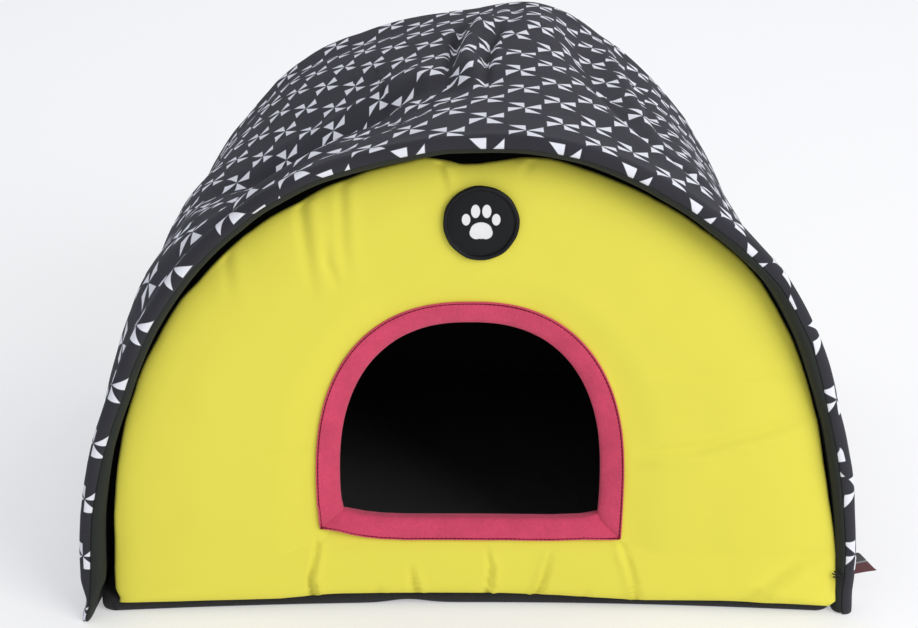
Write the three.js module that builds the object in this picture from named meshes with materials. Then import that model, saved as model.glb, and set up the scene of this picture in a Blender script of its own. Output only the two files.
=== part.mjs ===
// Cat hut: a padded tunnel of printed cotton on a floor pad. A yellow padded panel with a bound
// doorway closes its front and a plain one its back.
// Millimetres, +Z up. The doorway looks towards -Y, +X is on the right hand of someone facing it.

import * as THREE from 'three';

// Driving dimensions.
const HUT = { halfWidth: 280, frontHeight: 357, backHeight: 359, length: 450 };
const CANOPY = { thickness: 13, acrossSteps: 42, alongSteps: 16, nose: 4 };
const LINING = { thickness: 1.5, hemSetback: 1.5, footClear: 3 };
const SEAM_GAP = 0.3;
const FLOOR_PAD = { thickness: 11, cornerRadius: 10, bevel: 2, frontBow: 11, sideGap: 0.5, endInset: 4 };
const PANEL = {
  thickness: 20, // where the padding is full
  edgeClear: 2,
  footY: 2,
  lean: 24, // how far back the top is
  bow: 15, // how far back the middle is, at the floor
  bowLostAtTop: 0.5,
  topDip: 12, // the top edge sags this much below the arch, around topDipX
  topDipX: 13,
  topDipHalf: 30,
  leftFootIn: 6,
};
const BACK_PANEL = { inset: 22, thickness: 18, hubHeight: 150 };
const DOOR = { centreX: 2.5, halfWidth: 91.5, sill: 75, spring: 98, top: 216.5, fullness: 2.4, footDrawIn: 3.5 };
const BINDING = { width: 16.5, cloth: 1.8, gap: 0.5, wall: 2.3 };
const BADGE = { radius: 26, x: 10, z: 289.5, thickness: 2.2, rimWidth: 2.6, rimHeight: 1.6, seat: 0.4, sides: 36 };
const LABEL = { y: 15, z: 35, height: 17, reachTop: 4, reachBottom: 20, thickness: 1.4, drop: 5, corner: 2 };
const LOOP_STEPS = { sill: 12, arch: 40 }; // round the doorway and round each panel's edge
const DOOR_SAMPLES = { post: 12, bend: 160 };

// Padding of the panels from the doorway or the hub out to the edge, as shares of the way and of the thickness.
const FRONT_PADDING = [
  { way: 0.3, full: 1 },
  { way: 0.7, full: 1 },
  { way: 0.92, full: 0.75 },
  { way: 1, full: 0.45 },
];
const BACK_PADDING = [
  { way: 0, full: 1 },
  { way: 0.45, full: 1 },
  { way: 0.8, full: 0.95 },
  { way: 0.94, full: 0.75 },
  { way: 1, full: 0.45 },
];

// The arch is |x / halfWidth|^across + (z / height)^up = 1: full shoulders in front, rounder at the back.
const FRONT_ARCH = { across: 2.5, up: 2.2 };
const BACK_ARCH = { across: 2.12, up: 2.02 };

// Main creases of the canopy: soft troughs (below 0) and ridges (above 0), each along a line on the
// cloth. a is the way round the arch from the crown, y the way along the tunnel. inner is the share
// of it that the inside follows: little where the padding is pressed together, all where both move.
const CREASES = [
  { name: 'hem groove, left', a0: -20, y0: 96, a1: -150, y1: 78, halfWidth: 22, rise: -11, inner: 0.4 },
  { name: 'groove, left shoulder', a0: -150, y0: 78, a1: -330, y1: 52, halfWidth: 16, rise: -9, inner: 0.4 },
  { name: 'hem groove, right', a0: 100, y0: 78, a1: 260, y1: 52, halfWidth: 16, rise: -9, inner: 0.4 },
  { name: 'crown pucker', a0: 8, y0: 150, a1: 20, y1: 350, halfWidth: 11, rise: 12, inner: 0.4 },
  { name: 'trough by the pucker', a0: -18, y0: 150, a1: -10, y1: 340, halfWidth: 13, rise: -9, inner: 0.4 },
  { name: 'right shoulder fold', a0: 130, y0: 150, a1: 175, y1: 400, halfWidth: 14, rise: -8, inner: 0.4 },
  { name: 'slack left crown', a0: -80, y0: 270, a1: -80, y1: 450, halfWidth: 75, rise: -12, inner: 1 },
  { name: 'full right crown', a0: 60, y0: 260, a1: 60, y1: 420, halfWidth: 45, rise: 8, inner: 1 },
  { name: 'left hem drawn in', a0: -130, y0: 0, a1: -330, y1: 0, halfWidth: 60, rise: -12, inner: 1 },
  { name: 'right side slack', a0: 250, y0: 140, a1: 250, y1: 430, halfWidth: 95, rise: -8, inner: 1 },
];
const FLARE = { reach: 0.11, left: 12, right: 2 }; // how far each front corner of the canopy stands forward

const OUTLINE_SAMPLES = 360;
const CREASE_FREE_FOOT = 0.12; // share of each side, next to the floor, over which the creases fade
const NORMAL_STEP = 0.004;
const SAME_POINT = 1e-3;

const mix = (a, b, t) => a + (b - a) * t;
const smooth = (t) => THREE.MathUtils.smoothstep(t, 0, 1);

// One cross-section of the tunnel, left foot to right foot, with the distance walked to each point.
function archOutline(y) {
  const t = smooth(y / HUT.length);
  const across = mix(FRONT_ARCH.across, BACK_ARCH.across, t);
  const up = mix(FRONT_ARCH.up, BACK_ARCH.up, t);
  const height = mix(HUT.frontHeight, HUT.backHeight, t);
  const points = [];
  let walked = 0;
  for (let i = 0; i <= OUTLINE_SAMPLES; i++) {
    const angle = Math.PI * (1 - i / OUTLINE_SAMPLES);
    const cos = Math.cos(angle);
    const x = Math.sign(cos) * HUT.halfWidth * Math.abs(cos) ** (2 / across);
    const z = height * Math.max(Math.sin(angle), 0) ** (2 / up);
    if (i > 0) walked += Math.hypot(x - points[i - 1].x, z - points[i - 1].z);
    points.push({ x, z, walked });
  }
  return points;
}

const outlineCache = new Map();
function outlineAt(y) {
  const key = y.toFixed(2);
  if (!outlineCache.has(key)) outlineCache.set(key, archOutline(y));
  return outlineCache.get(key);
}

// Point on the plain tunnel: s runs from -1 at the left foot over 0 at the crown to 1 at the right foot.
function tunnelPoint(s, y) {
  const outline = outlineAt(y);
  const half = outline[outline.length - 1].walked / 2;
  const target = (s + 1) * half;
  let i = 1;
  while (i < outline.length - 1 && outline[i].walked < target) i++;
  const from = outline[i - 1];
  const to = outline[i];
  const t = (target - from.walked) / (to.walked - from.walked);
  return { x: mix(from.x, to.x, t), z: mix(from.z, to.z, t), around: s * half };
}

function creaseRise(around, y, inside) {
  let rise = 0;
  for (const crease of CREASES) {
    const da = crease.a1 - crease.a0;
    const dy = crease.y1 - crease.y0;
    const along = ((around - crease.a0) * da + (y - crease.y0) * dy) / (da * da + dy * dy);
    const t = Math.min(Math.max(along, 0), 1);
    const away = Math.hypot(around - crease.a0 - t * da, y - crease.y0 - t * dy);
    rise += crease.rise * (inside ? crease.inner : 1) * Math.exp(-((away / crease.halfWidth) ** 2));
  }
  return rise;
}

// Point on the canopy, set in from its outer face by depth.
function canopyPoint(s, y, depth) {
  const here = tunnelPoint(s, y);
  const before = tunnelPoint(Math.max(s - NORMAL_STEP, -1), y);
  const after = tunnelPoint(Math.min(s + NORMAL_STEP, 1), y);
  const length = Math.hypot(after.x - before.x, after.z - before.z);
  const foot = Math.abs(s) === 1;
  const outX = foot ? Math.sign(s) : -(after.z - before.z) / length;
  const outZ = foot ? 0 : (after.x - before.x) / length;
  const inside = depth >= CANOPY.thickness;
  const footFade = smooth((1 - Math.abs(s)) / CREASE_FREE_FOOT);
  const push = creaseRise(here.around, y, inside) * footFade - depth;
  return new THREE.Vector3(here.x + outX * push, y, foot ? 0 : Math.max(here.z + outZ * push, 0));
}

function frontEdgeY(s) {
  const corner = s < 0 ? FLARE.left : FLARE.right;
  return -corner * Math.exp(-(((1 - Math.abs(s)) / FLARE.reach) ** 2));
}

// Closed geometry from a list of triangles; corners that fall together drop out, faces point out.
function closedGeometry(triangles) {
  const whole = triangles.filter(([a, b, c]) => (
    a.distanceTo(b) > SAME_POINT && b.distanceTo(c) > SAME_POINT && c.distanceTo(a) > SAME_POINT));
  let volume = 0;
  for (const [a, b, c] of whole) volume += a.dot(new THREE.Vector3().crossVectors(b, c)) / 6;
  const positions = [];
  for (const [a, b, c] of whole) {
    const corners = volume > 0 ? [a, b, c] : [a, c, b];
    for (const corner of corners) positions.push(corner.x, corner.y, corner.z);
  }
  const geometry = new THREE.BufferGeometry();
  geometry.setAttribute('position', new THREE.Float32BufferAttribute(positions, 3));
  geometry.computeVertexNormals();
  return geometry;
}

// Solid between two grids of points, grid[i][j]. A looped grid joins its last i back to its first.
function gridSolid(outer, inner, looped) {
  const triangles = [];
  const quad = (a, b, c, d) => triangles.push([a, b, c], [a, c, d]);
  const count = outer.length;
  const last = outer[0].length - 1;
  const spans = looped ? count : count - 1;
  for (let i = 0; i < spans; i++) {
    const n = (i + 1) % count;
    for (let j = 0; j < last; j++) {
      quad(outer[i][j], outer[n][j], outer[n][j + 1], outer[i][j + 1]);
      quad(inner[i][j], inner[i][j + 1], inner[n][j + 1], inner[n][j]);
    }
    quad(outer[n][0], outer[i][0], inner[i][0], inner[n][0]);
    quad(outer[i][last], outer[n][last], inner[n][last], inner[i][last]);
  }
  if (!looped) {
    for (let j = 0; j < last; j++) {
      quad(outer[0][j], outer[0][j + 1], inner[0][j + 1], inner[0][j]);
      quad(outer[count - 1][j + 1], outer[count - 1][j], inner[count - 1][j], inner[count - 1][j + 1]);
    }
  }
  return closedGeometry(triangles);
}

// Solid swept through closed sections, each a ring of the same number of points, capped at both ends.
function sweepSolid(sections, capQuads) {
  const triangles = [];
  const quad = (a, b, c, d) => triangles.push([a, b, c], [a, c, d]);
  for (let i = 0; i + 1 < sections.length; i++) {
    const here = sections[i];
    const next = sections[i + 1];
    here.forEach((point, k) => {
      const m = (k + 1) % here.length;
      quad(point, here[m], next[m], next[k]);
    });
  }
  const first = sections[0];
  const last = sections[sections.length - 1];
  for (const [a, b, c, d] of capQuads) {
    quad(first[d], first[c], first[b], first[a]);
    quad(last[a], last[b], last[c], last[d]);
  }
  return closedGeometry(triangles);
}

function clothMaterial(color, roughness, metalness = 0) {
  return new THREE.MeshStandardMaterial({ color, roughness, metalness });
}

function makePiece(name, geometry, material) {
  const mesh = new THREE.Mesh(geometry, material);
  mesh.name = name;
  return mesh;
}

// A sheet that follows the canopy, between two depths below its outer face.
function vaultSheet({ outerDepth, innerDepth, nose, setback, footClear }) {
  const { acrossSteps, alongSteps } = CANOPY;
  const outer = [];
  const inner = [];
  for (let i = 0; i <= acrossSteps; i++) {
    const s = mix(-1, 1, i / acrossSteps);
    const outerRow = [];
    const innerRow = [];
    const hem = frontEdgeY(s);
    for (let j = 0; j <= alongSteps; j++) {
      let y = mix(hem + CANOPY.nose, HUT.length - CANOPY.nose, (j - 1) / (alongSteps - 2));
      if (j === 0) y = hem + setback;
      if (j === alongSteps) y = HUT.length - setback;
      const rounding = j === 0 || j === alongSteps ? nose : 0;
      for (const [row, depth] of [[outerRow, outerDepth + rounding], [innerRow, innerDepth]]) {
        const point = canopyPoint(s, y, depth);
        point.z = Math.max(point.z, footClear);
        row.push(point);
      }
    }
    outer.push(outerRow);
    inner.push(innerRow);
  }
  return gridSolid(outer, inner, false);
}

function makeCanopy() {
  const geometry = vaultSheet({
    outerDepth: 0,
    innerDepth: CANOPY.thickness,
    nose: CANOPY.nose,
    setback: 0,
    footClear: 0,
  });
  return makePiece('canopy', geometry, clothMaterial(0x46464f, 0.9));
}

function makeLining() {
  const outerDepth = CANOPY.thickness + SEAM_GAP;
  const geometry = vaultSheet({
    outerDepth,
    innerDepth: outerDepth + LINING.thickness,
    nose: 0,
    setback: LINING.hemSetback,
    footClear: LINING.footClear,
  });
  return makePiece('canopy_lining', geometry, clothMaterial(0x1c1f1c, 0.95));
}

// Depth below the canopy's outer face where a panel's edge lies.
const panelInset = CANOPY.thickness + SEAM_GAP + LINING.thickness + PANEL.edgeClear;
const panelFoot = FLOOR_PAD.thickness + SEAM_GAP;

// Outline of an end panel: the sill side from left to right, then the arch back from right to left.
// The top edge can dip, and the lower left corner can stand clear of the lining.
function panelOutline(y, topDip, leftFootIn) {
  const outline = [];
  const footS = 1 - panelFoot / outlineAt(y)[OUTLINE_SAMPLES].walked * 2;
  const archPoint = (s) => {
    const point = canopyPoint(s, y, panelInset);
    const dip = topDip * Math.exp(-(((point.x - PANEL.topDipX) / PANEL.topDipHalf) ** 2));
    const raised = point.z > HUT.frontHeight / 2;
    const clear = s < 0 ? leftFootIn * smooth(1 - point.z / HUT.frontHeight) : 0;
    return { x: point.x + clear, z: Math.max(point.z - (raised ? dip : 0), panelFoot) };
  };
  const left = archPoint(-footS);
  const right = archPoint(footS);
  for (let i = 0; i < LOOP_STEPS.sill; i++) {
    outline.push({ x: mix(left.x, right.x, i / LOOP_STEPS.sill), z: panelFoot });
  }
  for (let i = 0; i < LOOP_STEPS.arch; i++) {
    outline.push(archPoint(mix(footS, -footS, i / LOOP_STEPS.arch)));
  }
  return outline;
}

// Outline of the doorway, widened by grow: the same order and number of points as panelOutline.
function doorOutline(grow) {
  const sillZ = DOOR.sill - grow;
  const halfWidth = DOOR.halfWidth + grow;
  const footHalf = halfWidth - DOOR.footDrawIn;
  const rise = DOOR.top + grow - DOOR.spring;
  const post = DOOR.spring - sillZ;
  const dense = [];
  for (let i = 0; i < DOOR_SAMPLES.post; i++) {
    const t = i / DOOR_SAMPLES.post;
    dense.push({ x: mix(footHalf, halfWidth, Math.sin(t * Math.PI / 2)), z: sillZ + post * t });
  }
  for (let i = 0; i <= DOOR_SAMPLES.bend; i++) {
    const angle = (i / DOOR_SAMPLES.bend) * Math.PI;
    const cos = Math.cos(angle);
    dense.push({
      x: Math.sign(cos) * halfWidth * Math.abs(cos) ** (2 / DOOR.fullness),
      z: DOOR.spring + rise * Math.max(Math.sin(angle), 0) ** (2 / DOOR.fullness),
    });
  }
  for (let i = DOOR_SAMPLES.post - 1; i >= 0; i--) dense.push({ x: -dense[i].x, z: dense[i].z });
  const walked = [0];
  for (let i = 1; i < dense.length; i++) {
    walked.push(walked[i - 1] + Math.hypot(dense[i].x - dense[i - 1].x, dense[i].z - dense[i - 1].z));
  }
  const outline = [];
  for (let i = 0; i < LOOP_STEPS.sill; i++) {
    outline.push({ x: DOOR.centreX + mix(-footHalf, footHalf, i / LOOP_STEPS.sill), z: sillZ });
  }
  let k = 1;
  for (let i = 0; i < LOOP_STEPS.arch; i++) {
    const target = walked[walked.length - 1] * (i / LOOP_STEPS.arch);
    while (walked[k] < target) k++;
    const t = (target - walked[k - 1]) / (walked[k] - walked[k - 1]);
    outline.push({
      x: DOOR.centreX + mix(dense[k - 1].x, dense[k].x, t),
      z: mix(dense[k - 1].z, dense[k].z, t),
    });
  }
  return outline;
}

// Middle of the front panel's padding: it leans back as it rises and bows in between its corners.
function panelMiddleY(x, z) {
  const lean = PANEL.lean * (z / HUT.frontHeight);
  const bowHere = PANEL.bow * (1 - PANEL.bowLostAtTop * z / HUT.frontHeight);
  const bow = bowHere * (1 - (x / HUT.halfWidth) ** 2);
  return PANEL.footY + lean + bow;
}

// Stations round the doorway: share 0 is the opening's edge, share 1 the binding's outer edge.
const doorInner = doorOutline(0);
const doorOuter = doorOutline(BINDING.width);
const doorWall = BINDING.wall / BINDING.width;
const PADDING_AT_DOOR = { opening: 11, bindingEdge: 14 };
const paddingNearDoor = (share) => mix(PADDING_AT_DOOR.opening, PADDING_AT_DOOR.bindingEdge, share);

function doorPoint(k, share) {
  return {
    x: mix(doorInner[k].x, doorOuter[k].x, share),
    z: mix(doorInner[k].z, doorOuter[k].z, share),
  };
}

function makeFrontPanel() {
  const rim = panelOutline(PANEL.footY + PANEL.lean / 2, PANEL.topDip, PANEL.leftFootIn);
  const front = [];
  const back = [];
  rim.forEach((edge, k) => {
    const seam = doorPoint(k, 1);
    const stops = [
      { ...doorPoint(k, doorWall), padding: paddingNearDoor(doorWall) },
      { ...seam, padding: paddingNearDoor(1) },
      ...FRONT_PADDING.map(({ way, full }) => (
        { x: mix(seam.x, edge.x, way), z: mix(seam.z, edge.z, way), padding: full * PANEL.thickness })),
    ];
    const place = (side) => stops.map(({ x, z, padding }) => (
      new THREE.Vector3(x, panelMiddleY(x, z) + side * padding / 2, z)));
    front.push(place(-1));
    back.push(place(1));
  });
  return makePiece('front_panel', gridSolid(front, back, true), clothMaterial(0xd9d13c, 0.85));
}

// Eight corners of the folded strip where it passes station k: front flange, doorway wall, back flange.
function bindingSection(k, nudge = { x: 0, z: 0 }) {
  const skin = BINDING.gap + BINDING.cloth;
  const wallShare = (BINDING.wall - BINDING.gap) / BINDING.width;
  const corners = [
    { share: 1, side: -1, off: skin },
    { share: 0, side: -1, off: skin },
    { share: 0, side: 1, off: skin },
    { share: 1, side: 1, off: skin },
    { share: 1, side: 1, off: BINDING.gap },
    { share: wallShare, side: 1, off: BINDING.gap },
    { share: wallShare, side: -1, off: BINDING.gap },
    { share: 1, side: -1, off: BINDING.gap },
  ];
  return corners.map(({ share, side, off }) => {
    const { x, z } = doorPoint(k, share);
    const depth = paddingNearDoor(share) / 2 + off;
    return new THREE.Vector3(x + nudge.x, panelMiddleY(x, z) + side * depth, z + nudge.z);
  });
}
const BINDING_CAPS = [[0, 1, 6, 7], [1, 2, 5, 6], [2, 3, 4, 5]];

function makeBinding(name, firstStation, steps) {
  const sections = [];
  const total = doorInner.length;
  for (let i = 0; i <= steps; i++) {
    const k = (firstStation + i) % total;
    let nudge;
    if (i === 0 || i === steps) {
      const inwards = doorPoint((firstStation + (i === 0 ? 1 : steps - 1)) % total, 0.5);
      const corner = doorPoint(k, 0.5);
      const reach = Math.hypot(inwards.x - corner.x, inwards.z - corner.z);
      nudge = {
        x: SEAM_GAP * (inwards.x - corner.x) / reach,
        z: SEAM_GAP * (inwards.z - corner.z) / reach,
      };
    }
    sections.push(bindingSection(k, nudge));
  }
  return makePiece(name, sweepSolid(sections, BINDING_CAPS), clothMaterial(0xc2446a, 0.9));
}

function makeBadge() {
  const { radius, thickness, rimWidth, rimHeight } = BADGE;
  const profile = [
    new THREE.Vector2(0, 0),
    new THREE.Vector2(radius, 0),
    new THREE.Vector2(radius, thickness + rimHeight / 2),
    new THREE.Vector2(radius - rimWidth / 2, thickness + rimHeight),
    new THREE.Vector2(radius - rimWidth, thickness),
    new THREE.Vector2(0, thickness),
  ];
  const geometry = new THREE.LatheGeometry(profile, BADGE.sides);
  const badge = makePiece('badge', geometry, clothMaterial(0x141416, 0.45));
  const below = panelMiddleY(BADGE.x, BADGE.z - radius);
  const above = panelMiddleY(BADGE.x, BADGE.z + radius);
  const lean = Math.atan2(above - below, 2 * radius);
  badge.position.set(BADGE.x, panelMiddleY(BADGE.x, BADGE.z) - PANEL.thickness / 2 - BADGE.seat, BADGE.z);
  badge.rotation.x = Math.PI - lean;
  return badge;
}

function makeFloorPad() {
  const clear = CANOPY.thickness + SEAM_GAP + LINING.thickness + FLOOR_PAD.sideGap;
  const halfWidth = HUT.halfWidth - clear - FLOOR_PAD.bevel;
  const front = FLOOR_PAD.endInset;
  const back = HUT.length - FLOOR_PAD.endInset;
  const r = FLOOR_PAD.cornerRadius;
  const shape = new THREE.Shape();
  shape.moveTo(-halfWidth + r, front);
  shape.quadraticCurveTo(0, front + 2 * FLOOR_PAD.frontBow, halfWidth - r, front);
  shape.absarc(halfWidth - r, front + r, r, -Math.PI / 2, 0);
  shape.lineTo(halfWidth, back - r);
  shape.absarc(halfWidth - r, back - r, r, 0, Math.PI / 2);
  shape.lineTo(-halfWidth + r, back);
  shape.absarc(-halfWidth + r, back - r, r, Math.PI / 2, Math.PI);
  shape.lineTo(-halfWidth, front + r);
  shape.absarc(-halfWidth + r, front + r, r, Math.PI, 1.5 * Math.PI);
  const geometry = new THREE.ExtrudeGeometry(shape, {
    depth: FLOOR_PAD.thickness - 2 * FLOOR_PAD.bevel,
    bevelSize: FLOOR_PAD.bevel,
    bevelThickness: FLOOR_PAD.bevel,
    bevelSegments: 1,
    curveSegments: 8,
  });
  const pad = makePiece('base_pad', geometry, clothMaterial(0x232326, 0.9));
  pad.position.z = FLOOR_PAD.bevel;
  return pad;
}

// Plain padded panel at the far end: rings of points about a hub, front and back faces crowned.
function makeBackPanel() {
  const middleY = HUT.length - BACK_PANEL.inset;
  const rim = panelOutline(middleY, 0, 0);
  const faces = [-1, 1].map((side) => rim.map((edge) => BACK_PADDING.map(({ way, full }) => (
    new THREE.Vector3(
      edge.x * way,
      middleY + side * full * BACK_PANEL.thickness / 2,
      mix(BACK_PANEL.hubHeight, edge.z, way),
    )))));
  return makePiece('back_panel', discSolid(faces[0], faces[1]), clothMaterial(0xd9d13c, 0.85));
}

// Like gridSolid for a looped grid whose first ring is one point, so it has no inner edge.
function discSolid(outer, inner) {
  const triangles = [];
  const last = outer[0].length - 1;
  outer.forEach((row, i) => {
    const next = (i + 1) % outer.length;
    for (let j = 0; j < last; j++) {
      const a = [outer[i][j], outer[next][j], outer[next][j + 1], outer[i][j + 1]];
      const b = [inner[i][j + 1], inner[next][j + 1], inner[next][j], inner[i][j]];
      triangles.push([a[0], a[1], a[2]], [a[0], a[2], a[3]], [b[0], b[1], b[3]], [b[1], b[2], b[3]]);
    }
    const rimQuad = [outer[i][last], outer[next][last], inner[next][last], inner[i][last]];
    triangles.push([rimQuad[0], rimQuad[1], rimQuad[2]], [rimQuad[0], rimQuad[2], rimQuad[3]]);
  });
  return closedGeometry(triangles);
}

// Folded label caught in the hem seam: longest at its lower edge, hanging a little.
function makeLabel() {
  const s = 1 - LABEL.z / (outlineAt(LABEL.y)[OUTLINE_SAMPLES].walked / 2);
  const root = canopyPoint(s, LABEL.y, 0).x + 2 * SEAM_GAP;
  const top = LABEL.z + LABEL.height / 2;
  const bottom = LABEL.z - LABEL.height / 2;
  const tipZ = bottom - LABEL.drop;
  const shape = new THREE.Shape();
  shape.moveTo(root, bottom);
  shape.lineTo(root + LABEL.reachBottom - LABEL.corner, tipZ);
  shape.lineTo(root + LABEL.reachBottom, tipZ + LABEL.corner);
  shape.lineTo(root + LABEL.reachTop, top);
  shape.lineTo(root, top);
  const geometry = new THREE.ExtrudeGeometry(shape, { depth: LABEL.thickness, bevelEnabled: false });
  geometry.rotateX(Math.PI / 2);
  geometry.translate(0, LABEL.y + LABEL.thickness / 2, 0);
  return makePiece('side_label', geometry, clothMaterial(0x3a383c, 0.9));
}

const hut = new THREE.Group();
hut.add(
  makeCanopy(),
  makeLining(),
  makeFrontPanel(),
  makeBinding('door_binding_arch', LOOP_STEPS.sill, LOOP_STEPS.arch),
  makeBinding('door_binding_sill', 0, LOOP_STEPS.sill),
  makeBadge(),
  makeFloorPad(),
  makeBackPanel(),
  makeLabel(),
);

// The origin is under the middle of the hut's box, on the floor.
hut.updateMatrixWorld(true);
const box = new THREE.Box3().setFromObject(hut, true);
hut.position.set(-(box.min.x + box.max.x) / 2, -(box.min.y + box.max.y) / 2, -box.min.z);

export default hut;
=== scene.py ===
"""Cat hut: a padded tunnel of printed cotton on a floor pad, with a yellow front and a bound doorway."""

import math

import bpy
import numpy as np
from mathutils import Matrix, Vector, noise


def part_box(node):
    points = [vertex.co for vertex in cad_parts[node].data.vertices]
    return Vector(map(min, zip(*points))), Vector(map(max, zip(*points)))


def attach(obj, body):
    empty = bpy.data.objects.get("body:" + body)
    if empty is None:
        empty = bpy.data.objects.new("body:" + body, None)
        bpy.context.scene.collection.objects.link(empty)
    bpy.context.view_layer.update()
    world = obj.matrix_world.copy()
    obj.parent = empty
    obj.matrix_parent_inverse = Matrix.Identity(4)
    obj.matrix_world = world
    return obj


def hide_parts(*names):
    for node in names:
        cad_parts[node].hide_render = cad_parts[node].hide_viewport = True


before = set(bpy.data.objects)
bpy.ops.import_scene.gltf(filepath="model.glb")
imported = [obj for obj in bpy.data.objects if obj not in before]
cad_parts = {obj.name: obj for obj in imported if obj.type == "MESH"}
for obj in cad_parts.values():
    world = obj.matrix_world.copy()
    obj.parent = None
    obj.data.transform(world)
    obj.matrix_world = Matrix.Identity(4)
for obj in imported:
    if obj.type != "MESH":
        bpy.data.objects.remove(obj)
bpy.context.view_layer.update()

bl_info = {
    "name": "Cat hut",
    "version": (1, 0, 0),
    "blender": (4, 5, 0),
    "location": "View3D > Sidebar > Cat Hut",
    "description": "Makes the padded cat hut piece by piece around its packed solids",
    "category": "Add Mesh",
}

MM = 0.001

# Sizes of the hut in millimetres: x from its middle, y back from the hem, z up from the floor.
HALF_WIDTH = 280.0
FRONT_HEIGHT = 357.0
BACK_HEIGHT = 359.0
LENGTH = 450.0
FRONT_ARCH = (2.5, 2.2)
BACK_ARCH = (2.12, 2.02)
PADDING = 13.0
SEAM_GAP = 0.3
LINING_THICKNESS = 1.5
FLOOR_PAD_THICKNESS = 11.0
FLOOR_PAD_GAP = 0.5
FLOOR_PAD_ENDS = (0.5, LENGTH - 4.0)
FLOOR_PAD_BOW = 11.5
PANEL_INSET = PADDING + SEAM_GAP + LINING_THICKNESS + 2.0
PANEL_FOOT = FLOOR_PAD_THICKNESS + SEAM_GAP
CREASE_FREE_FOOT = 0.03
NORMAL_STEP = 0.004
OUTLINE_STEPS = 1441

# The front panel's middle: its place at the foot, its lean over the hut's height, its bow at the foot and
# how far it hangs forward in front of the floor pad, at its middle and at its ends, up to a height.
PANEL_PLACE = 2.0
PANEL_LEAN = 24.0
PANEL_BOW = 15.0
PANEL_HANG = 9.0
PANEL_HANG_LESS_AT_ENDS = 5.0
PANEL_HANG_TOP = 46
PANEL_HANG_FADE = 40
FRONT_PANEL_WAY = 14.0
BACK_PANEL_WAY = LENGTH - 22.0
BACK_PANEL_HUB = 150.0
RIM_PRESSED_IN = 0.4

# How far the hem's front corners reach out past the arch, left and right, and over what share of the way.
CORNER_REACH = (12.0, 2.0)
CORNER_SHARE = 0.11

CANOPY_LOW, CANOPY_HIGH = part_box("canopy")
HUT_X = (CANOPY_LOW.x + CANOPY_HIGH.x) / 2
HUT_FRONT = CANOPY_HIGH.y - LENGTH * MM

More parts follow.
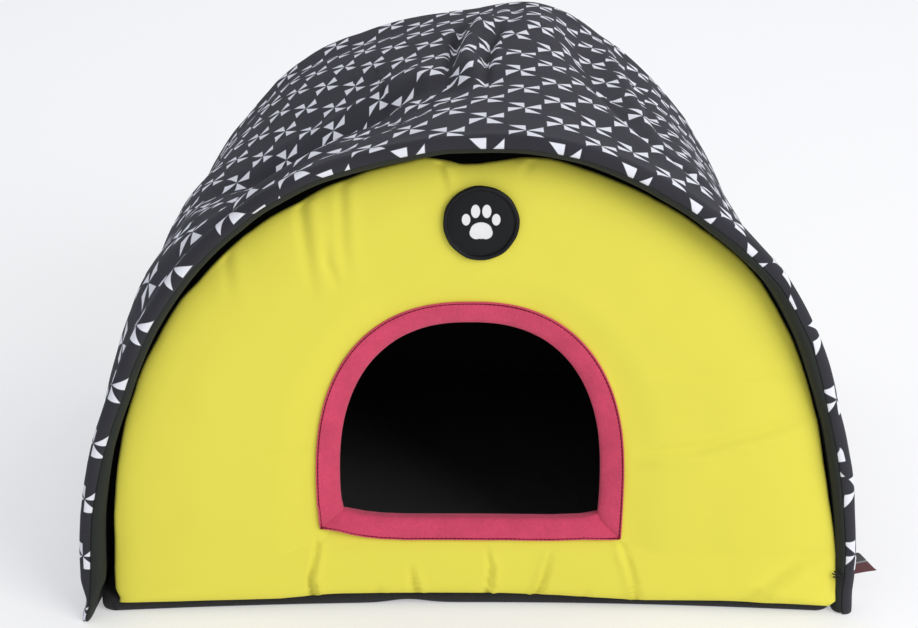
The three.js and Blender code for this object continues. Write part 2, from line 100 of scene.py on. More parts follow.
# Folds of the canopy. A run's columns are the way round from the crown, the way along from the hem
# and the rise, troughs below 0. half is the half width, far the half width on the side away from the
# hem where it differs, inner the share that the inside follows.
CANOPY_FOLDS = (
    {"name": "hem line", "half": 46, "inner": 1, "run": (
        (-506, 0, -4), (-480, 0, -3), (-440, 0, -1.5), (-400, 0, -2.7), (-341, 0, -8), (-288, 0, -8.5),
        (-232, 0, -10.5), (-177, 0, -11.5), (-121, 0, -8), (-67, 0, -5), (-13, 0, 0.5), (40, 0, 0.5),
        (93, 0, -3), (145, 0, -5.5), (190, 0, -4.2), (251, 0, 2.5), (300, 0, 3), (356, 0, 0.4),
        (420, 0, 1.1), (474, 0, 1.7), (500, 0, -0.5))},
    {"name": "hem groove, left", "half": 24, "far": 20, "inner": 0.4, "run": (
        (34, 156, -2), (-6, 154, -8), (-30, 150, -11), (-48, 120, -9), (-62, 86, -7), (-88, 48, -9),
        (-141, 44, -12), (-194, 43, -13), (-245, 44, -10), (-320, 50, -6), (-380, 50, -3))},
    {"name": "crest pressed down", "half": 24, "inner": 1, "run": (
        (-130, 14, -2), (-66, 14, -3), (0, 14, -3), (40, 14, -2), (80, 14, 0))},
    {"name": "fall behind the hem", "half": 32, "inner": 1, "run": (
        (-110, 34, 0), (-50, 42, -5), (-38, 90, -6), (-14, 116, -8), (14, 122, -3))},
    {"name": "fall behind the hem, right", "half": 26, "inner": 1, "run": (
        (62, 66, 0), (95, 66, -4.5), (118, 44, -4), (146, 40, -1))},
    {"name": "foot of the left face", "half": 15, "inner": 0.6, "run": (
        (-250, 188, 0), (-210, 184, -7), (-170, 178, -9), (-132, 171, -7), (-93, 171, -8), (-66, 174, -9),
        (-40, 174, -10), (-22, 170, -8), (-4, 160, -2))},
    {"name": "floor of the left hollow", "half": 30, "inner": 0.8, "run": (
        (-44, 140, 0), (-66, 142, -9), (-93, 144, -5), (-132, 144, -3), (-170, 142, -6), (-210, 138, -4),
        (-250, 134, 0))},
    {"name": "slope behind the left crest", "half": 24, "inner": 0.8, "run": (
        (-50, 92, 0), (-85, 90, -8), (-132, 88, -12), (-184, 86, -13), (-230, 84, -6), (-270, 80, 0))},
    {"name": "brow of the left face", "half": 15, "inner": 0.6, "run": (
        (-200, 214, 0), (-170, 214, 2), (-132, 210, 4), (-93, 212, 6), (-66, 216, 5), (-40, 208, 1),
        (-20, 200, -1))},
    {"name": "hollow of the left body", "half": 74, "far": 92, "inner": 0.8, "run": (
        (-30, 172, 2), (-62, 166, -14), (-95, 164, -26), (-140, 164, -34), (-190, 164, -28),
        (-240, 160, -6), (-300, 150, 3))},
    {"name": "left shoulder drawn in", "half": 60, "inner": 1, "run": ((-190, 300, -4), (-190, 450, -6))},
    {"name": "hem groove, right", "half": 17, "inner": 0.4, "run": (
        (92, 410, -3), (97, 320, -7), (103, 250, -8), (112, 196, -9), (128, 140, -10), (148, 98, -11),
        (176, 80, -11), (214, 66, -10), (262, 54, -8), (330, 50, -3))},
    {"name": "crown pucker", "half": 8, "inner": 0.3, "run": (
        (16, 352, 3), (13, 326, 9), (8, 290, 10), (2, 250, 9), (0, 212, 8), (3, 172, 6), (7, 136, 1))},
    {"name": "trough left of the pucker", "half": 4.6, "inner": 0.35, "run": (
        (6, 372, -2), (-1, 346, -5), (-7, 296, -8), (-9, 246, -8), (-11, 208, -7), (-13, 172, -3))},
    {"name": "pinch right of the pucker", "half": 3.4, "inner": 0.2, "run": (
        (30, 344, 0), (27, 300, -5), (19, 250, -6), (16, 205, -6), (15, 165, -4), (15, 138, -1))},
    {"name": "small pleat right of the crown", "half": 6, "inner": 0.2, "run": (
        (44, 420, -2), (41, 360, -3), (34, 300, -2), (30, 270, 0))},
    {"name": "right shoulder trough", "half": 16, "inner": 0.5, "run": (
        (150, 420, -3), (158, 330, -7), (160, 250, -8), (160, 180, -7), (164, 130, -4), (170, 100, 0))},
    {"name": "right shoulder ridge", "half": 13, "inner": 0.5, "run": (
        (126, 400, 2), (132, 320, 5), (136, 250, 5), (140, 190, 4), (146, 140, 1))},
    {"name": "pucker at the right valley", "half": 6, "inner": 0.2, "run": (
        (84, 230, 0), (100, 212, 3), (118, 186, 3), (130, 168, 0))},
    {"name": "slack left crown", "half": 75, "inner": 1, "run": (
        (-90, 262, -13), (-80, 330, -9), (-80, 450, -8))},
    {"name": "full right crown", "half": 45, "inner": 1, "run": (
        (46, 110, 3), (46, 240, 5), (52, 320, 15), (60, 420, 12))},
    {"name": "right side slack", "half": 95, "inner": 1, "run": ((250, 140, -8), (250, 430, -8))},
    {"name": "rear hem dip", "half": 22, "inner": 0.5, "run": (
        (-60, 400, -3), (-150, 410, -4), (-240, 400, -2))},
    {"name": "left side full", "half": 40, "inner": 1, "run": ((-281, 232, 5), (-281, 262, 5))},
    {"name": "right side drawn in", "half": 30, "inner": 1, "run": ((238, 88, -5), (246, 122, -5))},
    {"name": "back edge", "half": 70, "inner": 1, "run": (
        (-236, 443, 1), (-214, 443, 3), (-190, 443, 5.5), (-164, 443, 5), (-130, 443, 3), (-100, 443, 0),
        (-60, 443, -1), (-22, 443, -4), (13, 443, -5), (36, 443, -3.5), (64, 443, 0), (95, 443, 3.5),
        (125, 443, 2.5), (150, 443, 4), (203, 443, 5), (235, 443, 6), (262, 443, 4), (290, 443, 3),
        (325, 443, 0))},
    {"name": "left side hollow", "half": 34, "inner": 0.6, "run": (
        (-330, 130, 0), (-345, 230, -5), (-330, 340, 0))},
    {"name": "right side hollow", "half": 34, "inner": 0.6, "run": (
        (335, 120, 0), (350, 240, -5), (340, 350, 0))},
)

# Where the cloth is gathered, its print lies closer to the crown than the way round would bring it.
PRINT_GATHERS = (
    {"half": 110, "run": (
        (-60, 190, 8), (-95, 185, 19), (-150, 190, 29), (-200, 195, 38), (-270, 198, 48), (-320, 200, 46),
        (-400, 200, 24))},
    {"half": 70, "run": ((-60, 330, 0), (-110, 330, 7), (-170, 330, 14), (-300, 330, 10), (-400, 330, 0))},
    {"half": 75, "run": ((24, 255, 9), (120, 255, 8), (220, 255, 0))},
    {"half": 24, "run": ((-28, 130, -5), (-24, 170, -3), (-22, 245, -7), (-18, 285, -7))},
    {"half": 60, "run": (
        (60, 0, 0), (93, 0, -1.9), (146, 0, -2.6), (201, 0, -3.1), (248, 0, -8.9), (302, 0, -7.8),
        (348, 0, -11.5), (366, 0, -11.5), (380, 0, 9), (395, 0, 9), (420, 0, 8.8), (470, 0, 4.8),
        (480, 0, 5), (506, 0, 12))},
    {"half": 60, "run": (
        (-200, 0, 0), (-240, 0, -1.6), (-290, 0, 2.6), (-337, 0, 6), (-386, 0, 8.2), (-430, 0, 9.6),
        (-473, 0, 8.3), (-506, 0, 7))},
)

# Folds of the front panel in x and z, with the same kind of run. ridge is the share of each fold's
# depth that stands up beside it, on its right where ridge is above 0.
PANEL_FOLDS = (
    {"name": "upper left pleat", "half": 4.2, "ridge": 0.7, "run": (
        (-116, 318, -2.2), (-114, 305, -2.1), (-110, 272, -1.4), (-104, 229, 0))},
    {"name": "upper left pleat, second", "half": 3.6, "ridge": 0.6, "run": (
        (-86, 326, -1.5), (-85, 305, -1.3), (-84, 272, -0.8), (-81, 240, 0))},
    {"name": "shoulder pleat", "half": 4, "ridge": 0.5, "run": (
        (-170, 282, -1.2), (-165, 262, -1), (-161, 225, 0))},
    {"name": "pleat between", "half": 3.2, "ridge": 0.4, "run": (
        (-97, 282, 0), (-95, 260, -1.3), (-86, 238, 0))},
    {"name": "tuck left of the patch", "half": 2.8, "ridge": 0.7, "run": (
        (-22, 346, -3.4), (-18, 326, -2.6), (-13, 306, 0))},
    {"name": "tuck right of the patch", "half": 2.6, "ridge": -0.6, "run": (
        (52, 346, -3), (46, 334, -2.2), (38, 318, 0))},
    {"name": "right level fold", "half": 3.4, "ridge": 0.4, "run": (
        (118, 179, 0), (160, 180, -0.8), (209, 181, -1.1), (234, 181, 0))},
    {"name": "right rising fold", "half": 4, "ridge": 0.7, "run": (
        (119, 121, 0), (136, 123, -1.2), (162, 126, -1.7), (190, 135, -1.7), (218, 143, -1.8),
        (243, 151, 0))},
    {"name": "right low fold", "half": 4.6, "ridge": 0.6, "run": (
        (270, 50, 0), (239, 42, -1.6), (212, 22, -1.4), (192, 4, -0.6))},
    {"name": "left level fold", "half": 3.6, "ridge": 0.4, "run": (
        (-156, 116, 0), (-125, 120, -0.9), (-108, 124, 0))},
    {"name": "doorway corner, left", "half": 1.8, "ridge": 0.6, "run": (
        (-106, 60, -0.6), (-108, 44, -2), (-112, 26, -2.4), (-110, 4, -2.4))},
    {"name": "doorway corner, right", "half": 2.0, "ridge": -0.7, "run": (
        (110, 55, -0.8), (115, 42, -1.7), (120, 27, -1.7), (124, 8, -1.6))},
    {"name": "skirt tuck 1", "half": 1.7, "ridge": 0.4, "run": ((-63, 26, 0), (-63, 8, -2.2))},
    {"name": "skirt tuck 2", "half": 1.7, "ridge": 0.6, "run": (
        (-41, 38, 0), (-38, 24, -2.4), (-34, 6, -3.2))},
    {"name": "skirt tuck 3", "half": 1.7, "ridge": 0.6, "run": ((14, 50, 0), (18, 32, -2.4), (15, 6, -3))},
    {"name": "skirt tuck 4", "half": 1.8, "ridge": -0.6, "run": ((62, 48, 0), (57, 28, -2.4), (49, 6, -3))},
    {"name": "skirt tuck 5", "half": 1.9, "ridge": 0.3, "run": ((86, 24, 0), (87, 8, -1.3))},
    {"name": "pull at the hem tack", "half": 3, "ridge": 0.5, "run": (
        (280, 24, -1.6), (262, 27, -1), (240, 34, 0))},
    {"name": "pull below the hem tack", "half": 2.6, "ridge": 0.4, "run": (
        (280, 20, -1.4), (264, 14, -0.8), (250, 11, 0))},
)

DOOR = {"centre": 2.8, "half_width": 93.0, "sill": 68.0, "spring": 98.0, "top": 215.5, "fullness": 2.4,
        "draw_in_left": 2.0, "draw_in_right": 1.0}
# Lower edge of the doorway: x and how far it stands above the sill's height.
SILL_RISES = (
    (-112, 9.5), (-99, 8.8), (-91, 7.4), (-83, 5.0), (-73, 2.6), (-60, 0.9), (-42, 0), (60, -0.5),
    (82, 0.5), (90, 2.2), (95, 4), (100, 1), (111, 0.8))
BINDING_WIDTH = 16.5
BINDING_WALL = 2.3
OPENING_PADDING = 4.5
BINDING_EDGE_PADDING = 14.0
SILL_STATIONS = 132
ARCH_STATIONS = 420
BADGE = {"x": 10.0, "z": 289.5, "radius": 26.0, "sunk": 10.0, "gap": 0.4}
LABEL = {"y": 15.0, "z": 31.5, "height": 17.5, "top": 4.0, "bottom": 18.3, "drop": -3.0}
# Paw print on the patch: one row for each pad, its middle across and up and its half sizes.
PAW_PADS = (
    (0.0, -5.0, 7.6, 6.0),
    (-3.2, -6.6, 4.8, 4.6),
    (3.2, -6.6, 4.8, 4.6),
    (-10.2, 2.6, 3.0, 4.2),
    (-3.8, 8.4, 3.2, 4.8),
    (3.8, 8.4, 3.2, 4.8),
    (10.2, 2.6, 3.0, 4.2),
)


def smooth(t):
    """Eases t from 0 to 1 and holds it there outside that range."""
    t = np.clip(t, 0.0, 1.0)
    return t * t * (3 - 2 * t)


def mix(a, b, t):
    return a + (b - a) * t


def bell(distance, half_width):
    return np.exp(-(distance / half_width) ** 2)


def to_row(x, y, z):
    """Points of the hut in millimetres as points of the row frame in metres."""
    x, y, z = np.broadcast_arrays(x, y, z)
    return np.stack([x * MM + HUT_X, y * MM + HUT_FRONT, z * MM], axis=-1)


def unevenness(points, scale, seed):
    """Smooth noise from about -1 to 1 at each point, with bumps about scale wide."""
    flat = points.reshape(-1, 3) / scale
    offset = Vector((seed * 7.3, seed * 3.1, seed * 5.7))
    values = [noise.noise(Vector(p) + offset) for p in flat]
    return np.array(values).reshape(points.shape[:-1])


def run_rise(run, a, b):
    """Rise of the nearest place on a run, distance, side (1 right, -1 left) and whether b is past it."""
    best = np.full(np.shape(a), 1e9)
    rise = np.zeros_like(best)
    side = np.ones_like(best)
    past = np.zeros(best.shape, bool)
    for (a0, b0, rise0), (a1, b1, rise1) in zip(run, run[1:]):
        da, db = a1 - a0, b1 - b0
        t = np.clip(((a - a0) * da + (b - b0) * db) / (da * da + db * db), 0, 1)
        away_a, away_b = a - a0 - t * da, b - b0 - t * db
        distance = np.hypot(away_a, away_b)
        nearer = distance < best
        best = np.where(nearer, distance, best)
        rise = np.where(nearer, mix(rise0, rise1, t), rise)
        side = np.where(nearer, np.sign(away_a * abs(db) + away_b * -da * np.sign(db or 1) + 1e-12), side)
        past = np.where(nearer, away_b > 0, past)
    return rise, best, side, past


def fold_rise(fold, a, b):
    """Height of one fold at each place."""
    rise, distance, _, past = run_rise(fold["run"], a, b)
    return rise * bell(distance, np.where(past, fold.get("far", fold["half"]), fold["half"]))


class Vault:
    """The canopy's tunnel: s runs from -1 at the left foot over 0 at the crown to 1 at the right foot."""

    levels = np.linspace(-30.0, LENGTH + 20.0, 101)
    stations = np.linspace(-1.0, 1.0, 801)

    def __init__(self):
        rows = [self.outline(y) for y in self.levels]
        self.x, self.z = (np.array([row[k] for row in rows]) for k in (0, 1))
        self.half = np.array([row[2] for row in rows])

    def outline(self, y):
        """One cross-section at even steps of s, and half the distance round it."""
        t = smooth(y / LENGTH)
        across, up = (mix(front, back, t) for front, back in zip(FRONT_ARCH, BACK_ARCH))
        angle = np.linspace(math.pi, 0, OUTLINE_STEPS)
        cos = np.cos(angle)
        x = np.sign(cos) * HALF_WIDTH * np.abs(cos) ** (2 / across)
        z = mix(FRONT_HEIGHT, BACK_HEIGHT, t) * np.maximum(np.sin(angle), 0) ** (2 / up)
        walked = np.concatenate([[0], np.cumsum(np.hypot(np.diff(x), np.diff(z)))])
        half = walked[-1] / 2
        target = (self.stations + 1) * half
        return np.interp(target, walked, x), np.interp(target, walked, z), half

    def plain(self, s, y):
        """x, z and the way round from the crown on the tunnel without its folds."""
        row = np.clip((y - self.levels[0]) / (self.levels[1] - self.levels[0]), 0, len(self.levels) - 1.001)
        col = np.clip((s + 1) / 2 * (len(self.stations) - 1), 0, len(self.stations) - 1.001)
        i, j = row.astype(int), col.astype(int)
        down, right = row - i, col - j
        x, z = (
            mix(mix(grid[i, j], grid[i, j + 1], right), mix(grid[i + 1, j], grid[i + 1, j + 1], right), down)
            for grid in (self.x, self.z))
        return x, z, s * mix(self.half[i], self.half[i + 1], down)

    def point(self, s, y, depth, lift=0.0):
        """Point set in from the outer face by depth, with the folds and an extra lift of the cloth."""
        s, y, depth = np.broadcast_arrays(s, y, depth)
        x, z, around = self.plain(s, y)
        before_x, before_z, _ = self.plain(np.maximum(s - NORMAL_STEP, -1), y)
        after_x, after_z, _ = self.plain(np.minimum(s + NORMAL_STEP, 1), y)
        length = np.hypot(after_x - before_x, after_z - before_z)
        out_x, out_z = -(after_z - before_z) / length, (after_x - before_x) / length
        share = np.clip(depth / PADDING, 0, 1)
        rise = np.zeros_like(x)
        for fold in CANOPY_FOLDS:
            rise += fold_rise(fold, around, y) * mix(1, fold["inner"], share)
        push = (rise + lift) * smooth((1 - np.abs(s)) / CREASE_FREE_FOOT) - depth
        return x + out_x * push, y, np.maximum(z + out_z * push, 0)


VAULT = Vault()


def hem_y(s):
    """How far forward the canopy's front edge stands: its corners reach out past the arch."""
    corner = np.where(s < 0, *CORNER_REACH)
    return -corner * bell(1 - np.abs(s), CORNER_SHARE)


# The hem, from its left foot to its right one. Columns are the way round from the crown, the angle round
# the roll where the print ends, how far the lining bulges there, and the print's way from its end to row 0.
HEM_CHART = (
    (-505, 98, 3.0, 4.0),
    (-477, 108, 3.4, 5.0),
    (-437, 116, 3.4, 6.5),
    (-400, 128, 2.8, 9.0),
    (-384, 129, 1.6, 10.0),
    (-331, 128, 0.8, 12.0),
    (-278, 126, 0.6, 12.6),
    (-240, 124, 0.0, 13.2),
    (-199, 122, -0.4, 14.6),
    (-146, 119, -0.6, 16.5),
    (-93, 118, -1.0, 18.7),
    (-40, 118, -1.8, 21.2),
    (13, 118, -1.8, 22.4),
    (66, 118, -0.8, 22.4),
    (119, 118, -0.4, 22.2),
    (172, 112, -0.4, 21.5),
    (225, 104, -0.2, 20.1),
    (264, 100, -0.9, 17.2),
    (304, 103, 0.6, 13.0),
    (330, 110, 0.8, 10.0),
    (357, 114, -0.4, 7.2),
    (369, 115, -0.6, 7.4),
    (386, 115, 0.0, 19.0),
    (400, 115, 0.3, 20.0),
    (423, 115, 0.3, 12.8),
    (474, 113, 0.0, 7.6),
    (505, 108, 0.0, 6.0),
)
HEM_HALF = VAULT.outline(0.0)[2]


def hem_chart(s, column):
    """Value of one column of the hem's chart at each place round it."""
    chart = np.array(HEM_CHART, float)
    return np.interp(s * HEM_HALF, chart[:, 0], chart[:, column])


def seam_angle(s):
    """How far round the hem's roll the printed cloth reaches."""
    return np.radians(hem_chart(s, 1))


def roll_forward(s):
    """How much further forward than its radius the hem's roll reaches: its sides are flatter."""
    return mix(1.0, 1.2, smooth(np.abs(s) / 0.5))


HALF_CELL = 13.25
HEM_PRINT_WAY = 9.0
PRINT_START_ACROSS = 13.6 + HALF_CELL
PRINT_START_ALONG = HALF_CELL - HEM_PRINT_WAY


def print_place(s, u, v, around, y, crest, seam):
    """Place of the cloth's points in its print: u and v are measured along the cloth from its crest."""
    u = np.concatenate([np.repeat(u[:, crest:crest + 1], crest, 1), u[:, crest:]], 1)
    ease = 0.00085 * np.maximum(-u - 280, 0) ** 2
    gather = sum(fold_rise(run, around, y) for run in PRINT_GATHERS)
    forward = HEM_PRINT_WAY - hem_chart(s, 3) - v[:, seam:seam + 1]
    fading = np.where(v > 0, bell(v, 50.0), 1)
    return u - ease - gather + PRINT_START_ACROSS, v + forward * fading + PRINT_START_ALONG


# Edge of the front panel: the way round from the crown and how much further in than usual it lies.
PANEL_EDGE = (
    (-506, 10.5), (-499, 7), (-485, 6.4), (-461, 7), (-428, 6), (-396, 4), (-364, 0.8), (-331, -0.6),
    (-315, 0), (-295, 1.5), (-258, 1.8), (-240, 4), (-212, 4.4), (-186, 4.6), (-155, 6.2), (-132, 7),
    (-113, 6), (-90, 5), (-72, 2.8), (-30, 2), (-21, 5), (-13, 7.5), (-4, 10.5), (9, 10.6), (22, 8.8),
    (42, 5.5), (60, 4.3), (83, 5.8), (110, 5), (151, 3.7), (191, 2), (229, 0), (285, 0.5), (334, -0.3),
    (366, -0.7), (398, 1), (429, 0.5), (461, -2), (493, -4), (506, -4))
# Lower edge of the front panel: x and height.
PANEL_HEM = (
    (-270, 9.5), (-244, 8.5), (-216, 8.5), (-194, 8.6), (-164, 8.6), (-136, 8.8), (-122, 9.8),
    (-106, 11.3), (-92, 11.8), (26, 11.5), (68, 10.2), (98, 8.8), (128, 7.4), (186, 8.4), (232, 7.4),
    (268, 6))


def panel_middle_y(x, z):
    """Middle of the front panel's padding: it leans back, bows in, and hangs before the floor pad."""
    bow = PANEL_BOW * (1 - 0.5 * z / FRONT_HEIGHT) * (1 - (x / HALF_WIDTH) ** 2)
    hang = PANEL_HANG - PANEL_HANG_LESS_AT_ENDS * (x / HALF_WIDTH) ** 4
    low = smooth((PANEL_HANG_TOP - z) / PANEL_HANG_FADE)
    return PANEL_PLACE + PANEL_LEAN * z / FRONT_HEIGHT + bow - hang * low


def panel_outline(y, shaped, sill_count, arch_count):
    """Edge of an end panel: the foot from left to right, then the arch back from right to left."""
    half_round = VAULT.outline(y)[2]
    touching = PADDING + SEAM_GAP + LINING_THICKNESS - RIM_PRESSED_IN - PANEL_INSET
    edge = np.array(PANEL_EDGE if shaped else ((0, touching),), float)
    hem = np.array(PANEL_HEM if shaped else ((0, PANEL_FOOT - 3),), float)
    foot_s = 1 - hem[0, 1] / half_round
    s = mix(foot_s, -foot_s, np.arange(arch_count + 1) / arch_count)
    inset = PANEL_INSET + np.interp(s * half_round, edge[:, 0], edge[:, 1])
    arch_x, _, arch_z = VAULT.point(s, np.full_like(s, y), inset)
    foot_x = mix(arch_x[-1], arch_x[0], np.arange(sill_count) / sill_count)
    foot_z = np.interp(foot_x, hem[:, 0], hem[:, 1])
    return np.concatenate([foot_x, arch_x[:-1]]), np.concatenate([foot_z, arch_z[:-1]])


def door_outline(grow, sill_count, arch_count):
    """Edge of the doorway widened by grow, in the same order as panel_outline."""
    sill_z = DOOR["sill"] - grow
    half = DOOR["half_width"] + grow
    foot_left = half - DOOR["draw_in_left"]
    foot_right = half - DOOR["draw_in_right"]
    post = np.arange(60) / 60
    angle = np.linspace(0, math.pi, 721)
    cos = np.cos(angle)
    power = 2 / DOOR["fullness"]
    bend_x = np.sign(cos) * half * np.abs(cos) ** power
    bend_z = DOOR["spring"] + (DOOR["top"] + grow - DOOR["spring"]) * np.maximum(np.sin(angle), 0) ** power
    right_x = mix(foot_right, half, np.sin(post * math.pi / 2))
    left_x = mix(foot_left, half, np.sin(post * math.pi / 2))
    post_z = sill_z + (DOOR["spring"] - sill_z) * post
    x = np.concatenate([right_x, bend_x, -left_x[::-1]])
    z = np.concatenate([post_z, bend_z, post_z[::-1]])
    walked = np.concatenate([[0], np.cumsum(np.hypot(np.diff(x), np.diff(z)))])
    target = walked[-1] * np.arange(arch_count) / arch_count
    share = np.arange(sill_count) / sill_count
    x = np.concatenate([mix(-foot_left, foot_right, share), np.interp(target, walked, x)])
    return x + DOOR["centre"], np.concatenate([np.full(sill_count, sill_z), np.interp(target, walked, z)])


# Meshes.


def signed_volume(points, triangles):
    a, b, c = (points[triangles[:, k]] for k in range(3))
    return float(np.einsum("ij,ij->i", a, np.cross(b, c)).sum()) / 6


def cloth_mesh(name, points, faces, uv=None, keep_sharp=None):
    """Object from points, faces and one UV for each corner, turned outwards and shaded smooth."""
    flat = np.asarray(points, float).reshape(-1, 3)
    fans = np.array([(face[0], face[k], face[k + 1]) for face in faces for k in range(1, len(face) - 1)])
    if signed_volume(flat, fans) < 0:
        faces = [tuple(reversed(face)) for face in faces]
        if uv is not None:
            uv = [tuple(reversed(corners)) for corners in uv]
    mesh = bpy.data.meshes.new(name)
    mesh.from_pydata(flat.tolist(), [], faces)
    if uv is not None:
        layer = mesh.uv_layers.new(name="cloth")
        layer.data.foreach_set("uv", np.array([c for corners in uv for c in corners], np.float32).ravel())
    mesh.shade_smooth()
    if keep_sharp is not None:
        mesh.set_sharp_from_angle(angle=math.radians(keep_sharp))
    mesh.validate()
    piece = bpy.data.objects.new(name, mesh)
    bpy.context.scene.collection.objects.link(piece)
    return piece


def tube_faces(rings, columns, closed=False):
    """Quads between neighbouring rings of points; closed joins the last ring to the first."""
    count = rings if closed else rings - 1
    i = np.arange(count)[:, None]
    k = np.arange(columns)[None, :]
    i, k = np.broadcast_arrays(i, k)
    after, beside = (i + 1) % rings, (k + 1) % columns
    here, there = i * columns, after * columns
    quads = np.stack([here + k, here + beside, there + beside, there + k], -1)
    return quads.reshape(-1, 4), i.ravel(), k.ravel()


def loft(name, rings, uv=None, closed=False, keep_sharp=None):
    """Closed piece through rings of points. uv has one more column than the rings, for the seam."""
    count, columns = rings.shape[:2]
    quads, i, k = tube_faces(count, columns, closed)
    faces = [tuple(q) for q in quads.tolist()]
    corners = None
    if uv is not None:
        after = (i + 1) % count if closed else i + 1
        spread = np.stack([uv[i, k], uv[i, k + 1], uv[after, k + 1], uv[after, k]], 1)
        corners = [tuple(map(tuple, quad)) for quad in spread.tolist()]
    if not closed:
        faces.append(tuple(range(columns - 1, -1, -1)))
        faces.append(tuple(range((count - 1) * columns, count * columns)))
        if corners is not None:
            corners.append(tuple(map(tuple, uv[0, :columns][::-1].tolist())))
            corners.append(tuple(map(tuple, uv[-1, :columns].tolist())))
    return cloth_mesh(name, rings, faces, corners, keep_sharp)


def loft_disc(name, rings):
    """Closed piece round a rim: rings joined in a loop, the first and last column closed by one face."""
    count, columns = rings.shape[:2]
    quads, _, k = tube_faces(count, columns, True)
    faces = [tuple(q) for q in quads[k < columns - 1].tolist()]
    faces.append(tuple(i * columns for i in range(count)))
    faces.append(tuple(i * columns + columns - 1 for i in reversed(range(count))))
    return cloth_mesh(name, rings, faces)


def columns_of(rows):
    """The columns of a table, each as an array that broadcasts over rings."""
    return [np.array(column)[None, :] for column in zip(*rows)]


def arc_lengths(points, axis, origin):
    """Distance walked along one axis of a grid of points, 0 at the index origin."""
    steps = np.linalg.norm(np.diff(points, axis=axis), axis=-1)
    start = np.zeros_like(np.take(steps, [0], axis))
    walked = np.concatenate([start, np.cumsum(steps, axis)], axis)
    return walked - np.take(walked, [origin], axis)


def put_on(piece, finishes, slot, *nodes):
    """Gives a piece its materials, its body and the nodes it stands for; slot is not used."""
    for finish in finishes:
        piece.data.materials.append(finish)
    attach(piece, "root")
    if nodes:
        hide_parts(*nodes)


# Materials.


class Field:
    """A socket in a material's tree that can be used in arithmetic; each operator adds a Math node."""

    def __init__(self, tree, socket):
        self.tree = tree
        self.socket = socket

    def math(self, operation, *values, first=None):
        node = self.tree.nodes.new("ShaderNodeMath")
        node.operation = operation
        for place, value in enumerate((self if first is None else first, *values)):
            if isinstance(value, Field):
                self.tree.links.new(value.socket, node.inputs[place])
            else:
                node.inputs[place].default_value = value
        return Field(self.tree, node.outputs[0])

    def __add__(self, other):
        return self.math("ADD", other)

    def __sub__(self, other):
        return self.math("SUBTRACT", other)

    def __rsub__(self, other):
        return self.math("SUBTRACT", self, first=other)

    def __mul__(self, other):
        return self.math("MULTIPLY", other)

    def __truediv__(self, other):
        return self.math("DIVIDE", other)

    def __gt__(self, other):
        return self.math("GREATER_THAN", other)

    def __lt__(self, other):
        return self.math("LESS_THAN", other)

    def __abs__(self):
        return self.math("ABSOLUTE")

    def clamp(self):
        return self.math("MAXIMUM", 0.0).math("MINIMUM", 1.0)


class Finish:
    """A material being made: a cloth or leather shader and the nodes that feed it."""

    def __init__(self, name, roughness=0.9, sheen=0.0, sheen_tint=(1, 1, 1), specular=0.3, glow=0.0):
        self.material = bpy.data.materials.new(name)
        self.material.use_nodes = True
        self.tree = self.material.node_tree
        self.shader = self.tree.nodes["Principled BSDF"]
        for socket, value in (
            ("Roughness", roughness),
            ("Sheen Weight", sheen),
            ("Sheen Roughness", 0.6),
            ("Sheen Tint", (*sheen_tint, 1)),
            ("Specular IOR Level", specular),
            ("Emission Color", (1, 1, 1, 1)),
            ("Emission Strength", glow),
        ):
            self.shader.inputs[socket].default_value = value

    def node(self, kind, settings=None, sockets=None, output=0):
        """Adds a node, sets its settings, then its sockets, by name or place, and returns one output."""
        node = self.tree.nodes.new(kind)
        for key, value in (settings or {}).items():
            if key == "stops":
                ramp = node.color_ramp
                while len(ramp.elements) < len(value):
                    ramp.elements.new(1.0)
                for element, (place, color) in zip(ramp.elements, value):
                    element.position = place
                    element.color = color
            else:
                setattr(node, key, value)
        for key, value in (sockets or {}).items():
            if isinstance(value, Field):
                self.tree.links.new(value.socket, node.inputs[key])
            else:
                node.inputs[key].default_value = value
        return Field(self.tree, node.outputs[output])

    def axes(self, vector):
        """The three numbers of a vector."""
        split = self.node("ShaderNodeSeparateXYZ", sockets={0: vector})
        return [Field(self.tree, socket) for socket in split.socket.node.outputs]

    def cloth_place(self):
        """The two directions on the cloth, in metres, from the piece's own UV map."""
        return self.axes(self.node("ShaderNodeUVMap", {"uv_map": "cloth"}))[:2]

    def place(self):
        return self.node("ShaderNodeTexCoord", output="Object")

    def noise(self, scale, detail=2.0, roughness=0.5, vector=None):
        return self.node("ShaderNodeTexNoise", {"noise_dimensions": "3D"}, {
            "Vector": vector or self.place(), "Scale": scale, "Detail": detail, "Roughness": roughness})

    def weave(self, u, v, pitch):
        """Height of a plain weave from -1 to 1: threads of one pitch passing over and under."""
        step = math.pi / pitch
        return (u * step).math("SINE") * (v * step).math("SINE")

    def blend(self, first, second, share):
        """Colour between two colours. The Mix node's colour sockets can only be told apart by place."""
        return self.node("ShaderNodeMix", {"data_type": "RGBA"}, {0: share, 6: first, 7: second}, output=2)

    def shade(self, color, amount, *fields):
        """Colour made lighter and darker by fields about 0.5, by up to amount."""
        if not isinstance(color, Field):
            color = tuple(color[:3])
        for field in fields:
            factor = field * (2 * amount) + (1 - amount)
            grey = self.node("ShaderNodeCombineXYZ", sockets={0: factor, 1: factor, 2: factor})
            color = self.node("ShaderNodeVectorMath", {"operation": "MULTIPLY"}, {0: color, 1: grey})
        return color

    def paint(self, color):
        self.tree.links.new(color.socket, self.shader.inputs["Base Color"])
        return self

    def emboss(self, height, distance):
        """Bumps the surface by a height of about 0 to 1, distance metres tall."""
        bump = self.node("ShaderNodeBump", sockets={"Height": height, "Distance": distance})
        self.tree.links.new(bump.socket, self.shader.inputs["Normal"])
        return self.material


def rgba(color):
    return (*color[:3], 1.0)


